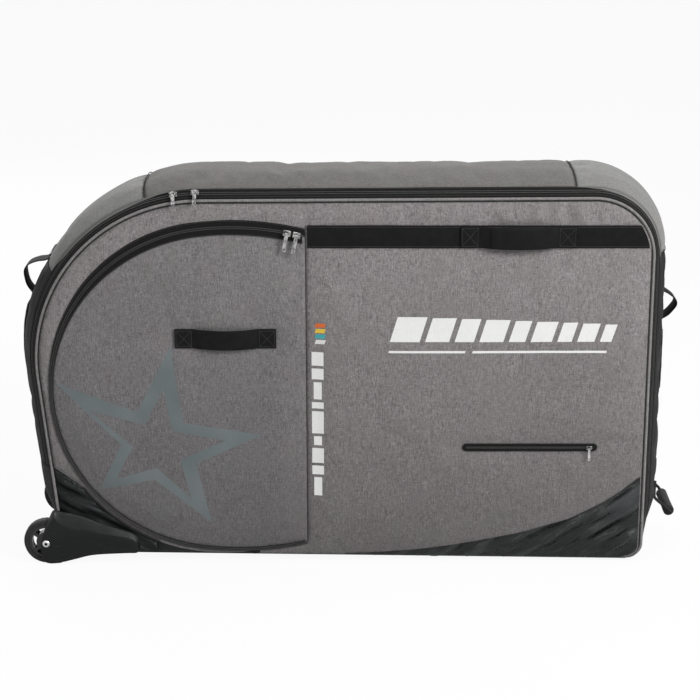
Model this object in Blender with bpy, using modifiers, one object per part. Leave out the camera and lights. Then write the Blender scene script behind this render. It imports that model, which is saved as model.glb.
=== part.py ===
"""Soft bike travel bag with a drop-down front, a wheel pocket on each side and two wheels.

The bag lies along X with its wheels at the -X end. The front is its -Y side and +Z is up.
The origin is on the floor under the middle of the bag. Lengths are in metres.
"""
import math

import bmesh
import bpy
from mathutils import Matrix, Vector

# Front outline: where its four sides would meet, and the radii of its corners
LEFT_FOOT_X = -0.6255
LEFT_FOOT_Z = 0.026
LEFT_TOP_X = -0.6965
LEFT_TOP_Z = 0.802
RIGHT_TOP_X = 0.6205
RIGHT_TOP_Z = 0.8104
RIGHT_FOOT_X = 0.627
RIGHT_FOOT_Z = 0.0095
RADIUS_TOP_LEFT = 0.352
RADIUS_TOP_RIGHT = 0.125
RADIUS_FOOT_LEFT = 0.025
RADIUS_FOOT_RIGHT = 0.03

# Depth of the bag and the bulge of its gusset
HALF_DEPTH = 0.142
CROWN = 0.038
CROWN_POWER = 3.2
CROWN_RISE = 0.12

# Thicknesses and clearances
GAP = 0.0003
PANEL = 0.008
GUSSET = 0.004
TAPE = 0.002
WEBBING = 0.0025
PIPING_RADIUS = 0.004
BASE = 0.008
BOARD = 0.005

# Wheel pocket flap: a D whose round side is three arcs, closed by an upright seam
FLAP_RADIUS = 0.357
FLAP_TOP_RADIUS = 0.6
FLAP_BOTTOM_RADIUS = 0.63
FLAP_BLEND_ANGLE = math.radians(97)
FLAP_BORDER_LEFT = 0.0237
FLAP_BORDER_BELOW = 0.0121
SEAM_FROM_CENTRE = 0.181
FLAP_TAPE_WIDE = 0.016
FLAP_TAPE_NARROW = 0.004
FLAP_TAPE_WIDE_SHARE = 0.2
FLAP_TAPE_NARROW_SHARE = 0.52
FLAP_TAPE_STOP = 0.006
POCKET_DEPTH = 0.058
POCKET_PAST_SEAM = 0.177
POCKET_WALL = 0.003
POCKET_FLANGE = 0.006

# Main zip, on the front shoulder of the gusset
MAIN_TAPE = 0.0116
MAIN_SPLIT = 0.0003

# Wheels, axles and housings
WHEEL_RADIUS = 0.05
WHEEL_WIDTH = 0.025
WHEEL_OUTSET = 0.036
WHEEL_PROUD = 0.0055
TYRE_DEPTH = 0.0115
BUSH_RADIUS = 0.0072
AXLE_RADIUS = 0.0045
AXLE_HEAD_RADIUS = 0.008
AXLE_HEAD = 0.0035
WHEEL_SIDE_GAP = 0.0025
ARCH_GAP = 0.003
ARCH_WALL = 0.003
CHEEK = 0.005
INNER_CHEEK = 0.0035
ARCH_FROM = math.radians(-40)
ARCH_TO = math.radians(97)
HOUSING_REACH = 0.203
HOUSING_HEIGHT = 0.126
SHOULDER = 0.006
SPOKES = 5
SLOT_OUTER_SHARE = 0.84
SLOT_INNER_SHARE = 0.6
SPOKE_SHARE = 0.1

# Carry straps and handles
STRAP_HEIGHT = 0.7305
STRAP_WIDTH = 0.048
STRAP_RIGHT = 0.611
HANDLE_WIDTH = 0.045
HANDLE_THICK = 0.004
HANDLE_FOOT = 0.04
HANDLE_LIFT = 0.022
HANDLE_BOW_POWER = 0.8
CARRY_LEFT = 0.222
CARRY_RIGHT = 0.46
GRAB_LEFT = -0.371
GRAB_RIGHT = -0.159
GRAB_HEIGHT = 0.5115
GRAB_WIDTH = 0.042

# End loops with their sleeves, and the pull strap with its grip
LOOP_REACH = 0.034
LOOP_SPAN = 0.068
LOOP_WIDTH = 0.045
LOOP_STAND_OFF_SHARES = (0, 0.5, 0.9, 1, 0.8, 0.5, 0)
LEFT_LOOP_TOP = 0.63
RIGHT_LOOP_TOP = 0.583
SLEEVE_LENGTH = 0.135
SLEEVE_DROP = 0.02
SLEEVE_THICK = 0.0073
SLEEVE_WIDTH = 0.056
PULL_HEIGHT = 0.083
PULL_RISE = 0.045
PULL_SEWN = 0.03
PULL_GRIP_LENGTH = 0.105
PULL_GRIP_RADIUS = 0.012
PULL_CORD_RADIUS = 0.0035
PULL_REACH = 0.6995

# Accessory pocket zip on the front
POCKET_ZIP_LEFT = 0.235
POCKET_ZIP_RIGHT = 0.52
POCKET_ZIP_HEIGHT = 0.268
POCKET_ZIP_WIDTH = 0.015

# Coated patches
LEFT_PATCH_TOP = 0.2215
LEFT_PATCH_TURN = math.radians(216)
LEFT_PATCH_STRIP = 0.0117
LEFT_PATCH_END = 0.142
RIGHT_PATCH_LEFT = -0.016
RIGHT_PATCH_HEIGHT = 0.145
RIGHT_PATCH_POWER = 2.7

# Zip sliders and pull tabs
SLIDER_LENGTH = 0.016
SLIDER_WIDTH = 0.0125
SLIDER_THICK = 0.004
SLIDER_LIFT = 0.0006
SLIDER_BAR_HEIGHT = 0.009
SLIDER_BAR_RADIUS = 0.0012
SLIDER_CHEEK = 0.0016
TAB_LENGTH = 0.038
TAB_WIDTH = 0.008
TAB_THICK = 0.0018
TAB_KNUCKLE_RADIUS = 0.003
TAB_KNUCKLE_BORE = 0.0016
TAB_EYE = 0.0024
POCKET_SLIDER_SHARE = 0.7
LEFT_SLIDER_X = -0.365
RIGHT_SLIDER_X = -0.322
FLAP_SLIDER_FAR = 0.037
FLAP_SLIDER_NEAR = 0.017

# Inner parts and skids
HOOP_RADIUS = 0.006
HOOP_INSET = 0.019
HOOP_HALF_SPAN = 0.09
HOOP_BEND = 0.03
LEFT_HOOP_TOP = 0.42
RIGHT_HOOP_TOP = 0.62
SKID_LEFT = 0.28
SKID_RIGHT = 0.56
SKID_WIDTH = 0.02
SKID_SPACING = 0.08

# Places along the outline where the gusset panels are seamed
TOP_SEAM_LEFT = -0.422
TOP_SEAM_RIGHT = 0.46
CORNER_SEAM_ANGLE = math.radians(148.5)

ARC_STEP = math.radians(7.5)
LINE_STEP = 0.062

FINISHES = {
    "heather_fabric": ((0.17, 0.155, 0.155, 1), 0.9, 0),
    "black_fabric": ((0.015, 0.014, 0.013, 1), 0.85, 0),
    "tarpaulin": ((0.02, 0.021, 0.023, 1), 0.35, 0),
    "webbing": ((0.012, 0.012, 0.012, 1), 0.8, 0),
    "zip_tape": ((0.018, 0.017, 0.017, 1), 0.8, 0),
    "piping": ((0.32, 0.31, 0.3, 1), 0.6, 0),
    "zinc": ((0.6, 0.6, 0.6, 1), 0.3, 1),
    "moulded_black": ((0.015, 0.015, 0.015, 1), 0.45, 0),
    "tyre_rubber": ((0.02, 0.02, 0.02, 1), 0.7, 0),
    "steel": ((0.5, 0.5, 0.5, 1), 0.35, 1),
    "board": ((0.03, 0.03, 0.03, 1), 0.6, 0),
    "hoop_tube": ((0.4, 0.4, 0.42, 1), 0.4, 1),
    "lining": ((0.05, 0.05, 0.055, 1), 0.9, 0),
}


for stale in list(bpy.data.objects):
    bpy.data.objects.remove(stale)

bag_parts = bpy.data.collections.new("soft_bike_travel_bag")
cutters = bpy.data.collections.new("cutters")
bpy.context.scene.collection.children.link(bag_parts)
bpy.context.scene.collection.children.link(cutters)


# Finishes and objects

def finish(name):
    """The material of that name, made on first use."""
    found = bpy.data.materials.get(name)
    if found:
        return found
    colour, roughness, metallic = FINISHES[name]
    made = bpy.data.materials.new(name)
    made.use_nodes = True
    shader = made.node_tree.nodes["Principled BSDF"]
    shader.inputs["Base Color"].default_value = colour
    shader.inputs["Roughness"].default_value = roughness
    shader.inputs["Metallic"].default_value = metallic
    return made


def place(name, data, material, parent=None, collection=bag_parts):
    """Link data as an object and give it its finish and its parent."""
    made = bpy.data.objects.new(name, data)
    collection.objects.link(made)
    if material and not data.materials:
        data.materials.append(finish(material))
    hang_on(made, parent)
    return made


def hang_on(made, parent):
    """Parent an object without moving it."""
    if parent:
        made.parent = parent
        made.matrix_parent_inverse = parent.matrix_world.inverted()


def pivot(name, matrix, parent=None):
    """An empty on a joint's axis: its local X lies along the axis."""
    made = bpy.data.objects.new(name, None)
    bag_parts.objects.link(made)
    hang_on(made, parent)
    made.matrix_world = matrix
    bpy.context.view_layer.update()
    return made


def mesh_from(bm, name):
    """Turn a bmesh into a named mesh with smooth round faces."""
    data = bpy.data.meshes.new(name)
    bm.to_mesh(data)
    bm.free()
    data.shade_smooth()
    data.set_sharp_from_angle(angle=math.radians(35))
    return data


def plate(name, loops, y_low, y_high, material, parent=None):
    """A flat outline in the XZ plane with any holes, from y_low to y_high."""
    data = bpy.data.curves.new(name, "CURVE")
    data.dimensions = "2D"
    data.fill_mode = "BOTH"
    data.extrude = (y_high - y_low) / 2
    data.resolution_u = 1
    for loop in loops:
        spline = data.splines.new("POLY")
        spline.points.add(len(loop) - 1)
        for point, (x, z) in zip(spline.points, loop):
            point.co = (x, z, 0, 1)
        spline.use_cyclic_u = True
    made = place(name, data, material, parent)
    upright = Matrix.Rotation(math.radians(90), 4, "X")
    made.matrix_world = Matrix.Translation((0, (y_low + y_high) / 2, 0)) @ upright
    return made


def sheet(name, rows, thick, facing, material, parent=None):
    """An open grid of rows of points, thickened on the side away from facing."""
    bm = bmesh.new()
    grid = [[bm.verts.new(point) for point in row] for row in rows]
    for low, high in zip(grid, grid[1:]):
        for a, b, c, d in zip(low, low[1:], high[1:], high):
            bm.faces.new((a, b, c, d))
    bm.normal_update()
    bm.faces.ensure_lookup_table()
    middle = bm.faces[len(bm.faces) // 2]
    if middle.normal.dot(facing(middle.calc_center_median())) < 0:
        bmesh.ops.reverse_faces(bm, faces=bm.faces)
    made = place(name, mesh_from(bm, name), material, parent)
    solid = made.modifiers.new("Thickness", "SOLIDIFY")
    solid.thickness = thick
    solid.offset = -1
    solid.use_even_offset = True
    return made


def turned(name, profile, axis_point, material, parent=None, steps=32):
    """A closed profile of (radius, y) points turned about a Y axis."""
    swept = 0
    for (r_a, y_a), (r_b, y_b) in zip(profile, profile[1:] + profile[:1]):
        swept += r_a * y_b - r_b * y_a
    if swept > 0:
        profile = profile[::-1]
    bm = bmesh.new()
    ring = [bm.verts.new((radius, 0, along)) for radius, along in profile]
    for a, b in zip(ring, ring[1:] + ring[:1]):
        bm.edges.new((a, b))
    made = place(name, mesh_from(bm, name), material, parent)
    screw = made.modifiers.new("Turn", "SCREW")
    screw.axis = "Z"
    screw.angle = 2 * math.pi
    screw.steps = steps
    screw.render_steps = steps
    screw.use_merge_vertices = True
    screw.merge_threshold = 0.00005
    lying = Matrix.Rotation(math.radians(-90), 4, "X")
    made.matrix_world = Matrix.Translation(axis_point) @ lying
    return made


def tube(name, points, radius, material, parent=None, sides=2, closed=False):
    """A round tube along a poly line of points, with filled ends."""
    data = bpy.data.curves.new(name, "CURVE")
    data.dimensions = "3D"
    data.bevel_depth = radius
    data.bevel_resolution = sides
    data.resolution_u = 1
    data.use_fill_caps = not closed
    spline = data.splines.new("POLY")
    spline.points.add(len(points) - 1)
    for point, place_at in zip(spline.points, points):
        point.co = (*place_at, 1)
    spline.use_cyclic_u = closed
    return place(name, data, material, parent)


def cylinder(bm, radius, length, middle, sides=16, along="Y"):
    """Add a capped cylinder to bm, centred on middle and lying along an axis."""
    turn = {
        "X": Matrix.Rotation(math.radians(90), 4, "Y"),
        "Y": Matrix.Rotation(math.radians(90), 4, "X"),
        "Z": Matrix.Identity(4),
    }[along]
    bmesh.ops.create_cone(
        bm, cap_ends=True, segments=sides, radius1=radius, radius2=radius, depth=length,
        matrix=Matrix.Translation(middle) @ turn,
    )


def box(bm, low, high):
    """Add a box between two corners to bm."""
    size = Vector(high) - Vector(low)
    middle = (Vector(high) + Vector(low)) / 2
    bmesh.ops.create_cube(bm, size=1, matrix=Matrix.Translation(middle) @ Matrix.Diagonal((*size, 1)))


def combine(target, shape, operation, name):
    """Join or cut target with a bmesh shape, by a hidden cutter object."""
    tool = place(name, mesh_from(shape, name), None, None, cutters)
    tool.hide_render = True
    tool.display_type = "WIRE"
    boolean = target.modifiers.new(name, "BOOLEAN")
    boolean.operation = operation
    boolean.object = tool
    boolean.solver = "EXACT"


def as_mesh(made):
    """Replace a curve object by its mesh, with the caps welded, so that it can be cut."""
    bpy.context.view_layer.update()
    evaluated = made.evaluated_get(bpy.context.evaluated_depsgraph_get())
    data = bpy.data.meshes.new_from_object(evaluated)
    bm = bmesh.new()
    bm.from_mesh(data)
    bmesh.ops.remove_doubles(bm, verts=bm.verts, dist=GAP / 10)
    bm.to_mesh(data)
    bm.free()
    name, parent, matrix = made.name, made.parent, made.matrix_world.copy()
    bpy.data.objects.remove(made)
    replaced = place(name, data, None, parent)
    replaced.matrix_world = matrix
    return replaced


# Rails: runs of straight and round stretches in the XZ plane, measured along their length

class Rail:
    """A chain of ("line", start, end) and ("arc", centre, radius, from, to) stretches."""

    def __init__(self, stretches, outward):
        self.stretches = stretches
        self.outward = outward
        self.starts = [0]
        for stretch in stretches:
            self.starts.append(self.starts[-1] + self.length(stretch))

    @staticmethod
    def length(stretch):
        if stretch[0] == "line":
            return (stretch[2] - stretch[1]).length
        return abs(stretch[4] - stretch[3]) * stretch[2]

    def at(self, distance):
        """The point at a distance along the rail, and the rail's outward normal there."""
        distance = min(max(distance, 0), self.starts[-1])
        index = 0
        while index < len(self.stretches) - 1 and distance > self.starts[index + 1]:
            index += 1
        stretch = self.stretches[index]
        share = (distance - self.starts[index]) / self.length(stretch)
        if stretch[0] == "line":
            along = (stretch[2] - stretch[1]).normalized()
            normal = Vector((-along.y, along.x)) * self.outward
            return stretch[1].lerp(stretch[2], share), normal
        angle = stretch[3] + (stretch[4] - stretch[3]) * share
        normal = Vector((math.cos(angle), math.sin(angle)))
        return stretch[1] + normal * stretch[2], normal

    def stations(self, first, last, arc_step=ARC_STEP):
        """Distances from first to last that hold every change of direction."""
        marks = [first]
        for start, stretch in zip(self.starts, self.stretches):
            length = self.length(stretch)
            steps = max(1, round(length / LINE_STEP))
            if stretch[0] == "arc":
                steps = max(1, round(abs(stretch[4] - stretch[3]) / arc_step))
            marks += [start + length * step / steps for step in range(steps + 1)]
        marks.append(last)
        inside = sorted(mark for mark in marks if first <= mark <= last)
        kept = inside[:1]
        for mark in inside[1:]:
            if mark - kept[-1] > GAP:
                kept.append(mark)
        kept[-1] = last
        return kept

    def offset(self, marks, away):
        """Points at those distances, set off by away(distance) along the normal."""
        points = []
        for mark in marks:
            point, normal = self.at(mark)
            points.append(point + normal * away(mark))
        return points


def corner_arc(before, corner, after, radius):
    """The arc of that radius that touches the two sides that meet at a corner."""
    into = (corner - before).normalized()
    out = (after - corner).normalized()
    turn = math.acos(max(-1, min(1, into.dot(out))))
    back = radius * math.tan(turn / 2)
    start = corner - into * back
    inward = Vector((into.y, -into.x))
    centre = start + inward * radius
    first = math.atan2(-inward.y, -inward.x)
    return "arc", centre, radius, first, first - turn


def outline_rail():
    """The front outline, clockwise from the middle of the bottom round to it again."""
    corners = [
        Vector((LEFT_FOOT_X, LEFT_FOOT_Z)),
        Vector((LEFT_TOP_X, LEFT_TOP_Z)),
        Vector((RIGHT_TOP_X, RIGHT_TOP_Z)),
        Vector((RIGHT_FOOT_X, RIGHT_FOOT_Z)),
    ]
    radii = [RADIUS_FOOT_LEFT, RADIUS_TOP_LEFT, RADIUS_TOP_RIGHT, RADIUS_FOOT_RIGHT]
    arcs = []
    for index, corner in enumerate(corners):
        arcs.append(corner_arc(corners[index - 1], corner, corners[(index + 1) % 4], radii[index]))
    ends = []
    for arc in arcs:
        first = arc[1] + Vector((math.cos(arc[3]), math.sin(arc[3]))) * arc[2]
        last = arc[1] + Vector((math.cos(arc[4]), math.sin(arc[4]))) * arc[2]
        ends.append((first, last))
    middle = (corners[0] + corners[3]) / 2
    stretches = [("line", middle, ends[0][0])]
    for index, arc in enumerate(arcs):
        stretches.append(arc)
        following = ends[index + 1][0] if index < 3 else middle
        stretches.append(("line", ends[index][1], following))
    return Rail(stretches, 1), arcs


OUTLINE, CORNER_ARCS = outline_rail()
TOP_LEFT_ARC = CORNER_ARCS[1]
TOP_RIGHT_ARC = CORNER_ARCS[2]
LEFT_SIDE = (OUTLINE.starts[2], OUTLINE.starts[3])
TOP_LEFT = (OUTLINE.starts[3], OUTLINE.starts[4])
TOP_SIDE = (OUTLINE.starts[4], OUTLINE.starts[5])
RIGHT_SIDE = (OUTLINE.starts[6], OUTLINE.starts[7])
OUTLINE_LENGTH = OUTLINE.starts[-1]


def where(test, first, last):
    """The distance between first and last at which test(point) changes sign."""
    low, high = first, last
    rising = test(OUTLINE.at(high)[0]) > 0
    for _ in range(40):
        middle = (low + high) / 2
        if (test(OUTLINE.at(middle)[0]) > 0) == rising:
            high = middle
        else:
            low = middle
    return high


def left_at(z):
    """The distance along the outline at a height on its left side or top left corner."""
    return where(lambda p: p.y - z, OUTLINE.starts[1], TOP_LEFT[1])


def top_at(x):
    """The distance along the outline at a place along its top."""
    return where(lambda p: p.x - x, TOP_LEFT[0], OUTLINE.starts[6])


def right_at(z):
    """The distance along the outline at a height on its right side."""
    return where(lambda p: z - p.y, TOP_SIDE[1], OUTLINE.starts[8])


def foot_z(x):
    """Height of the sloping bottom line at x."""
    share = (x - LEFT_FOOT_X) / (RIGHT_FOOT_X - LEFT_FOOT_X)
    return LEFT_FOOT_Z + (RIGHT_FOOT_Z - LEFT_FOOT_Z) * share


CROWN_HALF = HALF_DEPTH - 1.5 * PIPING_RADIUS


def crown_at(mark, y):
    """How far the gusset bulges past the outline at a distance along it and a depth."""
    point, _ = OUTLINE.at(mark)
    rise = (point.y - foot_z(point.x)) / CROWN_RISE
    rise = max(0, min(1, rise))
    return CROWN * rise * (1 - min(1, abs(y) / CROWN_HALF) ** CROWN_POWER)


def skin(mark, y, lift=0):
    """The point of the gusset's outer face at a distance and a depth, lifted off it."""
    point, normal = OUTLINE.at(mark)
    out = point + normal * (crown_at(mark, y) + lift)
    return Vector((out.x, y, out.y))


def skin_out(point):
    """A direction out of the bag at a point, for choosing which side is the face."""
    return Vector((point.x, 0, point.z - (LEFT_TOP_Z + LEFT_FOOT_Z) / 2))


def spread(first, last, count):
    """Evenly spaced numbers from first to last."""
    return [first + (last - first) * step / (count - 1) for step in range(count)]


# Flap outline

def flap_rail():
    """The round side of the wheel pocket flap, from the seam's top round to its foot."""
    height = foot_z(LEFT_FOOT_X / 2) + FLAP_BORDER_BELOW + FLAP_RADIUS
    edge = OUTLINE.at(left_at(height))[0].x
    centre = Vector((edge + FLAP_BORDER_LEFT + FLAP_RADIUS, height))
    blend = Vector((math.cos(FLAP_BLEND_ANGLE), math.sin(FLAP_BLEND_ANGLE)))
    above = centre - blend * (FLAP_TOP_RADIUS - FLAP_RADIUS)
    mirrored = Vector((blend.x, -blend.y))
    below = centre - mirrored * (FLAP_BOTTOM_RADIUS - FLAP_RADIUS)
    seam = centre.x + SEAM_FROM_CENTRE
    start = math.acos((seam - above.x) / FLAP_TOP_RADIUS)
    stop = 2 * math.pi - math.acos((seam - below.x) / FLAP_BOTTOM_RADIUS)
    rail = Rail([
        ("arc", above, FLAP_TOP_RADIUS, start, FLAP_BLEND_ANGLE),
        ("arc", centre, FLAP_RADIUS, FLAP_BLEND_ANGLE, 2 * math.pi - FLAP_BLEND_ANGLE),
        ("arc", below, FLAP_BOTTOM_RADIUS, 2 * math.pi - FLAP_BLEND_ANGLE, stop),
    ], 1)
    return rail, centre, above, seam


FLAP, FLAP_CENTRE, FLAP_TOP_CENTRE, SEAM_X = flap_rail()
FLAP_LENGTH = FLAP.starts[-1]
FLAP_MARKS = sorted(set(FLAP.stations(0, FLAP_LENGTH) + [FLAP_LENGTH]))


def flap_loop(away, limit):
    """The flap's D, set off by away and closed by an upright line at x = limit."""
    shape = away if callable(away) else (lambda mark: away)
    points = FLAP.offset(FLAP_MARKS, shape)
    return [(min(point.x, limit), point.y) for point in points]


def flap_tape_half(mark):
    """Half width of the flap's zip: wide at the top of the seam, narrow at the foot."""
    share = mark / FLAP_LENGTH - FLAP_TAPE_WIDE_SHARE
    share = max(0, min(1, share / (FLAP_TAPE_NARROW_SHARE - FLAP_TAPE_WIDE_SHARE)))
    return FLAP_TAPE_WIDE + (FLAP_TAPE_NARROW - FLAP_TAPE_WIDE) * share * share * (3 - 2 * share)


# Joints: one empty on each axis, with its local X along the axis

def axes(origin, along, up):
    """A matrix at origin whose X is along and whose Z is up, made square."""
    x = Vector(along).normalized()
    z = Vector(up)
    z = (z - x * z.dot(x)).normalized()
    y = z.cross(x)
    turn = Matrix((x, y, z)).transposed()
    return Matrix.Translation(origin) @ turn.to_4x4()


HINGE_Y = -(HALF_DEPTH - PANEL / 2)
DOOR_AXIS = Vector((RIGHT_FOOT_X - LEFT_FOOT_X, 0, RIGHT_FOOT_Z - LEFT_FOOT_Z)).normalized()
front_door = pivot("front_door", axes((0, HINGE_Y, foot_z(0)), DOOR_AXIS, (0, 0, 1)))
front_flap_hinge = pivot(
    "front_flap_hinge", axes((SEAM_X, -HALF_DEPTH, FLAP_CENTRE.y), (0, 0, 1), (0, -1, 0)), front_door)
back_flap_hinge = pivot(
    "back_flap_hinge", axes((SEAM_X, HALF_DEPTH, FLAP_CENTRE.y), (0, 0, 1), (0, 1, 0)))


# Front and back panels

def arch_points(first, last, radius, count=9):
    """Points of the wheel arch, between two angles about the axle."""
    turns = [first + (last - first) * step / (count - 1) for step in range(count)]
    return [(AXLE_X + radius * math.cos(turn), AXLE_Z + radius * math.sin(turn)) for turn in turns]


def outline_loop(first, last, inset):
    """Outline points between two distances, set in by inset."""
    marks = OUTLINE.stations(first, last)
    return [tuple(point) for point in OUTLINE.offset(marks, lambda mark: -inset)]


AXLE_X = LEFT_FOOT_X - WHEEL_OUTSET
AXLE_Z = WHEEL_RADIUS
ARCH_RADIUS = WHEEL_RADIUS + ARCH_GAP + ARCH_WALL
ARCH_CLEAR = ARCH_RADIUS + GAP
EDGE = PIPING_RADIUS + GAP

PATCH_RADIUS = FLAP_RADIUS + LEFT_PATCH_STRIP
patch_last = 1.5 * math.pi - math.asin(LEFT_PATCH_END / PATCH_RADIUS)
patch_marks = spread(LEFT_PATCH_TURN, patch_last, 8)


def patch_edge(radius):
    """The round upper edge of the left corner panel."""
    points = []
    for turn in patch_marks:
        points.append((FLAP_CENTRE.x + radius * math.cos(turn), FLAP_CENTRE.y + radius * math.sin(turn)))
    return points


def front_panel_loop():
    """The door: the outline above the left corner panel, and the sloping bottom line."""
    upper = outline_loop(left_at(LEFT_PATCH_TOP), OUTLINE.starts[7], EDGE)
    corner = outline_loop(OUTLINE.starts[7], OUTLINE.starts[8], GAP)
    edge = patch_edge(PATCH_RADIUS)
    foot_x = edge[-1][0]
    return upper + corner[1:] + [(foot_x, foot_z(foot_x) + GAP)] + edge[::-1]


def corner_panel_loop():
    """The coated lower left corner, cut round the wheel arch."""
    edge = patch_edge(PATCH_RADIUS + GAP)
    foot_x = edge[-1][0] - GAP
    side = outline_loop(AXLE_CROSS, left_at(LEFT_PATCH_TOP - GAP), EDGE)
    arch = arch_points(AXLE_FOOT_ANGLE, AXLE_SIDE_ANGLE, ARCH_CLEAR)
    return side + edge[:-1] + [(foot_x, edge[-1][1]), (foot_x, foot_z(foot_x) + GAP)] + arch


def arch_side_angle():
    """The angle about the axle at which the arch meets the outline's left side, set in."""
    for step in range(900):
        turn = math.radians(90 - step / 10)
        x = AXLE_X + ARCH_CLEAR * math.cos(turn)
        z = AXLE_Z + ARCH_CLEAR * math.sin(turn)
        point, normal = OUTLINE.at(left_at(z))
        if (Vector((x, z)) - point).dot(normal) <= -EDGE:
            return turn, left_at(z)
    return 0, left_at(AXLE_Z)


AXLE_SIDE_ANGLE, AXLE_CROSS = arch_side_angle()
AXLE_FOOT_ANGLE = -math.asin((AXLE_Z - foot_z(AXLE_X + ARCH_CLEAR) - GAP) / ARCH_CLEAR)


def back_panel_loop():
    """The back: the whole outline with the wheel arch taken out of its lower corner."""
    upper = outline_loop(AXLE_CROSS, OUTLINE.starts[7], EDGE)
    corner = outline_loop(OUTLINE.starts[7], OUTLINE.starts[8], GAP)
    return upper + corner[1:] + arch_points(AXLE_FOOT_ANGLE, AXLE_SIDE_ANGLE, ARCH_CLEAR)


FACE = HALF_DEPTH
INNER_FACE = HALF_DEPTH - PANEL
flap_hole = flap_loop(GAP, SEAM_X + GAP)
plate("front_panel", [front_panel_loop(), flap_hole], -FACE, -INNER_FACE, "heather_fabric", front_door)
plate("corner_panel_left", [corner_panel_loop()], -FACE, -INNER_FACE, "tarpaulin")
plate("back_panel", [back_panel_loop(), flap_hole], INNER_FACE, FACE, "heather_fabric")


def flap_plate(name, side, parent):
    """The flap itself, just inside the hole in its panel."""
    low, high = sorted((side * FACE, side * INNER_FACE))
    plate(name, [flap_loop(-GAP, SEAM_X - GAP)], low, high, "heather_fabric", parent)


flap_plate("front_flap", -1, front_flap_hinge)
flap_plate("back_flap", 1, back_flap_hinge)


# Zip tapes round the flaps

def flap_tape(name, side, inner, parent):
    """One tape of the flap's zip: the strip inside or outside the zip line."""
    limit = SEAM_X - FLAP_TAPE_STOP
    if inner:
        near = flap_loop(-GAP, limit)
        far = flap_loop(lambda mark: -flap_tape_half(mark), limit)
    else:
        near = flap_loop(GAP, SEAM_X - GAP)
        far = flap_loop(flap_tape_half, SEAM_X - GAP)
    y = side * (FACE + GAP)
    rows = [[Vector((x, y, z)) for x, z in near], [Vector((x, y, z)) for x, z in far]]
    sheet(name, rows, TAPE, lambda point: Vector((0, -side, 0)), "zip_tape", parent)


flap_tape("front_flap_zip_outer", -1, False, front_door)
flap_tape("front_flap_zip_inner", -1, True, front_flap_hinge)
flap_tape("back_flap_zip_outer", 1, False, None)
flap_tape("back_flap_zip_inner", 1, True, back_flap_hinge)


# Padded wheel pockets behind the flaps

def pocket_loop(away):
    """The flap's outline carried on past the seam, behind the panel, to a round far side."""
    points = FLAP.offset(FLAP_MARKS, lambda mark: away)
    top, foot = points[0], points[-1]
    for turn in spread(-math.pi / 2, math.pi / 2, 13)[1:-1]:
        point = foot.lerp(top, (math.sin(turn) + 1) / 2)
        points.append(point + Vector(((POCKET_PAST_SEAM + away) * math.cos(turn), 0)))
    return points


def wheel_pocket(name, side, parent):
    """A round pan that takes a whole wheel, sewn behind the panel and open towards its flap."""
    front = side * (INNER_FACE - GAP)
    floor = side * (INNER_FACE - GAP - POCKET_DEPTH)
    wall_top = 2 * POCKET_WALL
    rings = [
        (POCKET_FLANGE, front), (-POCKET_FLANGE, front), (-2 * POCKET_FLANGE, front - side * wall_top),
        (-3 * POCKET_FLANGE, floor + side * 2 * wall_top), (-5 * POCKET_FLANGE, floor),
    ]
    bm = bmesh.new()
    loops = []
    for away, y in rings:
        loops.append([bm.verts.new((x, y, z)) for x, z in pocket_loop(away)])
    for near, far in zip(loops, loops[1:]):
        for index, _ in enumerate(near):
            ahead = (index + 1) % len(near)
            bm.faces.new((near[index], near[ahead], far[ahead], far[index]))
    bm.faces.new(loops[-1])
    bmesh.ops.recalc_face_normals(bm, faces=bm.faces)
    bm.faces.ensure_lookup_table()
    if bm.faces[-1].normal.y * side < 0:
        bmesh.ops.reverse_faces(bm, faces=bm.faces)
    made = place(name, mesh_from(bm, name), "lining", parent)
    solid = made.modifiers.new("Thickness", "SOLIDIFY")
    solid.thickness = POCKET_WALL
    solid.offset = -1


wheel_pocket("wheel_pocket_front", -1, front_door)
wheel_pocket("wheel_pocket_back", 1, None)


# Gusset: panels seamed end to end round the bag, from the base up one end and down the other

BAND_FRONT = -CROWN_HALF + PIPING_RADIUS / 2
DOOR_TAPE_BACK = BAND_FRONT + MAIN_TAPE - MAIN_SPLIT
BODY_TAPE_FRONT = BAND_FRONT + MAIN_TAPE + MAIN_SPLIT
BODY_TAPE_BACK = BAND_FRONT + 2 * MAIN_TAPE
GUSSET_FRONT = BODY_TAPE_BACK + 2 * GAP
GUSSET_BACK = CROWN_HALF - PIPING_RADIUS / 2 - GAP

base_left_mark = OUTLINE.starts[1]
base_right_mark = OUTLINE.starts[8]
left_seam_mark = TOP_LEFT[0] + (TOP_LEFT_ARC[3] - CORNER_SEAM_ANGLE) * RADIUS_TOP_LEFT
left_seam_mark += 2 * math.pi * RADIUS_TOP_LEFT if left_seam_mark < TOP_LEFT[0] else 0
right_seam_mark = TOP_SIDE[1] + (OUTLINE.starts[6] - OUTLINE.starts[5])


zip_first = left_at(LEFT_PATCH_TOP + GAP)
zip_last = OUTLINE.starts[7]
over_arch = left_at(AXLE_Z + ARCH_RADIUS + ARCH_GAP)
before_zip = left_at(LEFT_PATCH_TOP - ARCH_GAP)
past_zip = zip_last + ARCH_GAP


def gusset_edges(mark):
    """Front and back edge of the gusset, which gives way to the wheel arches and to the zip."""
    if mark < over_arch:
        return GUSSET_FRONT, -GUSSET_FRONT
    if mark < before_zip or mark > past_zip:
        return -GUSSET_BACK, GUSSET_BACK
    return GUSSET_FRONT, GUSSET_BACK


def gusset(name, first, last, material):
    """One gusset panel between two distances along the outline."""
    marks = OUTLINE.stations(first + GAP, last - GAP)
    for step in (over_arch, before_zip, past_zip):
        if first < step < last:
            marks += [step - GAP, step + GAP]
    rows = []
    for mark in sorted(marks):
        front, back = gusset_edges(mark)
        depths = [front] + spread(front + MAIN_TAPE / 2, back - MAIN_TAPE / 2, 8) + [back]
        rows.append([skin(mark, y) for y in depths])
    sheet(name, rows, GUSSET, skin_out, material)


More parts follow.
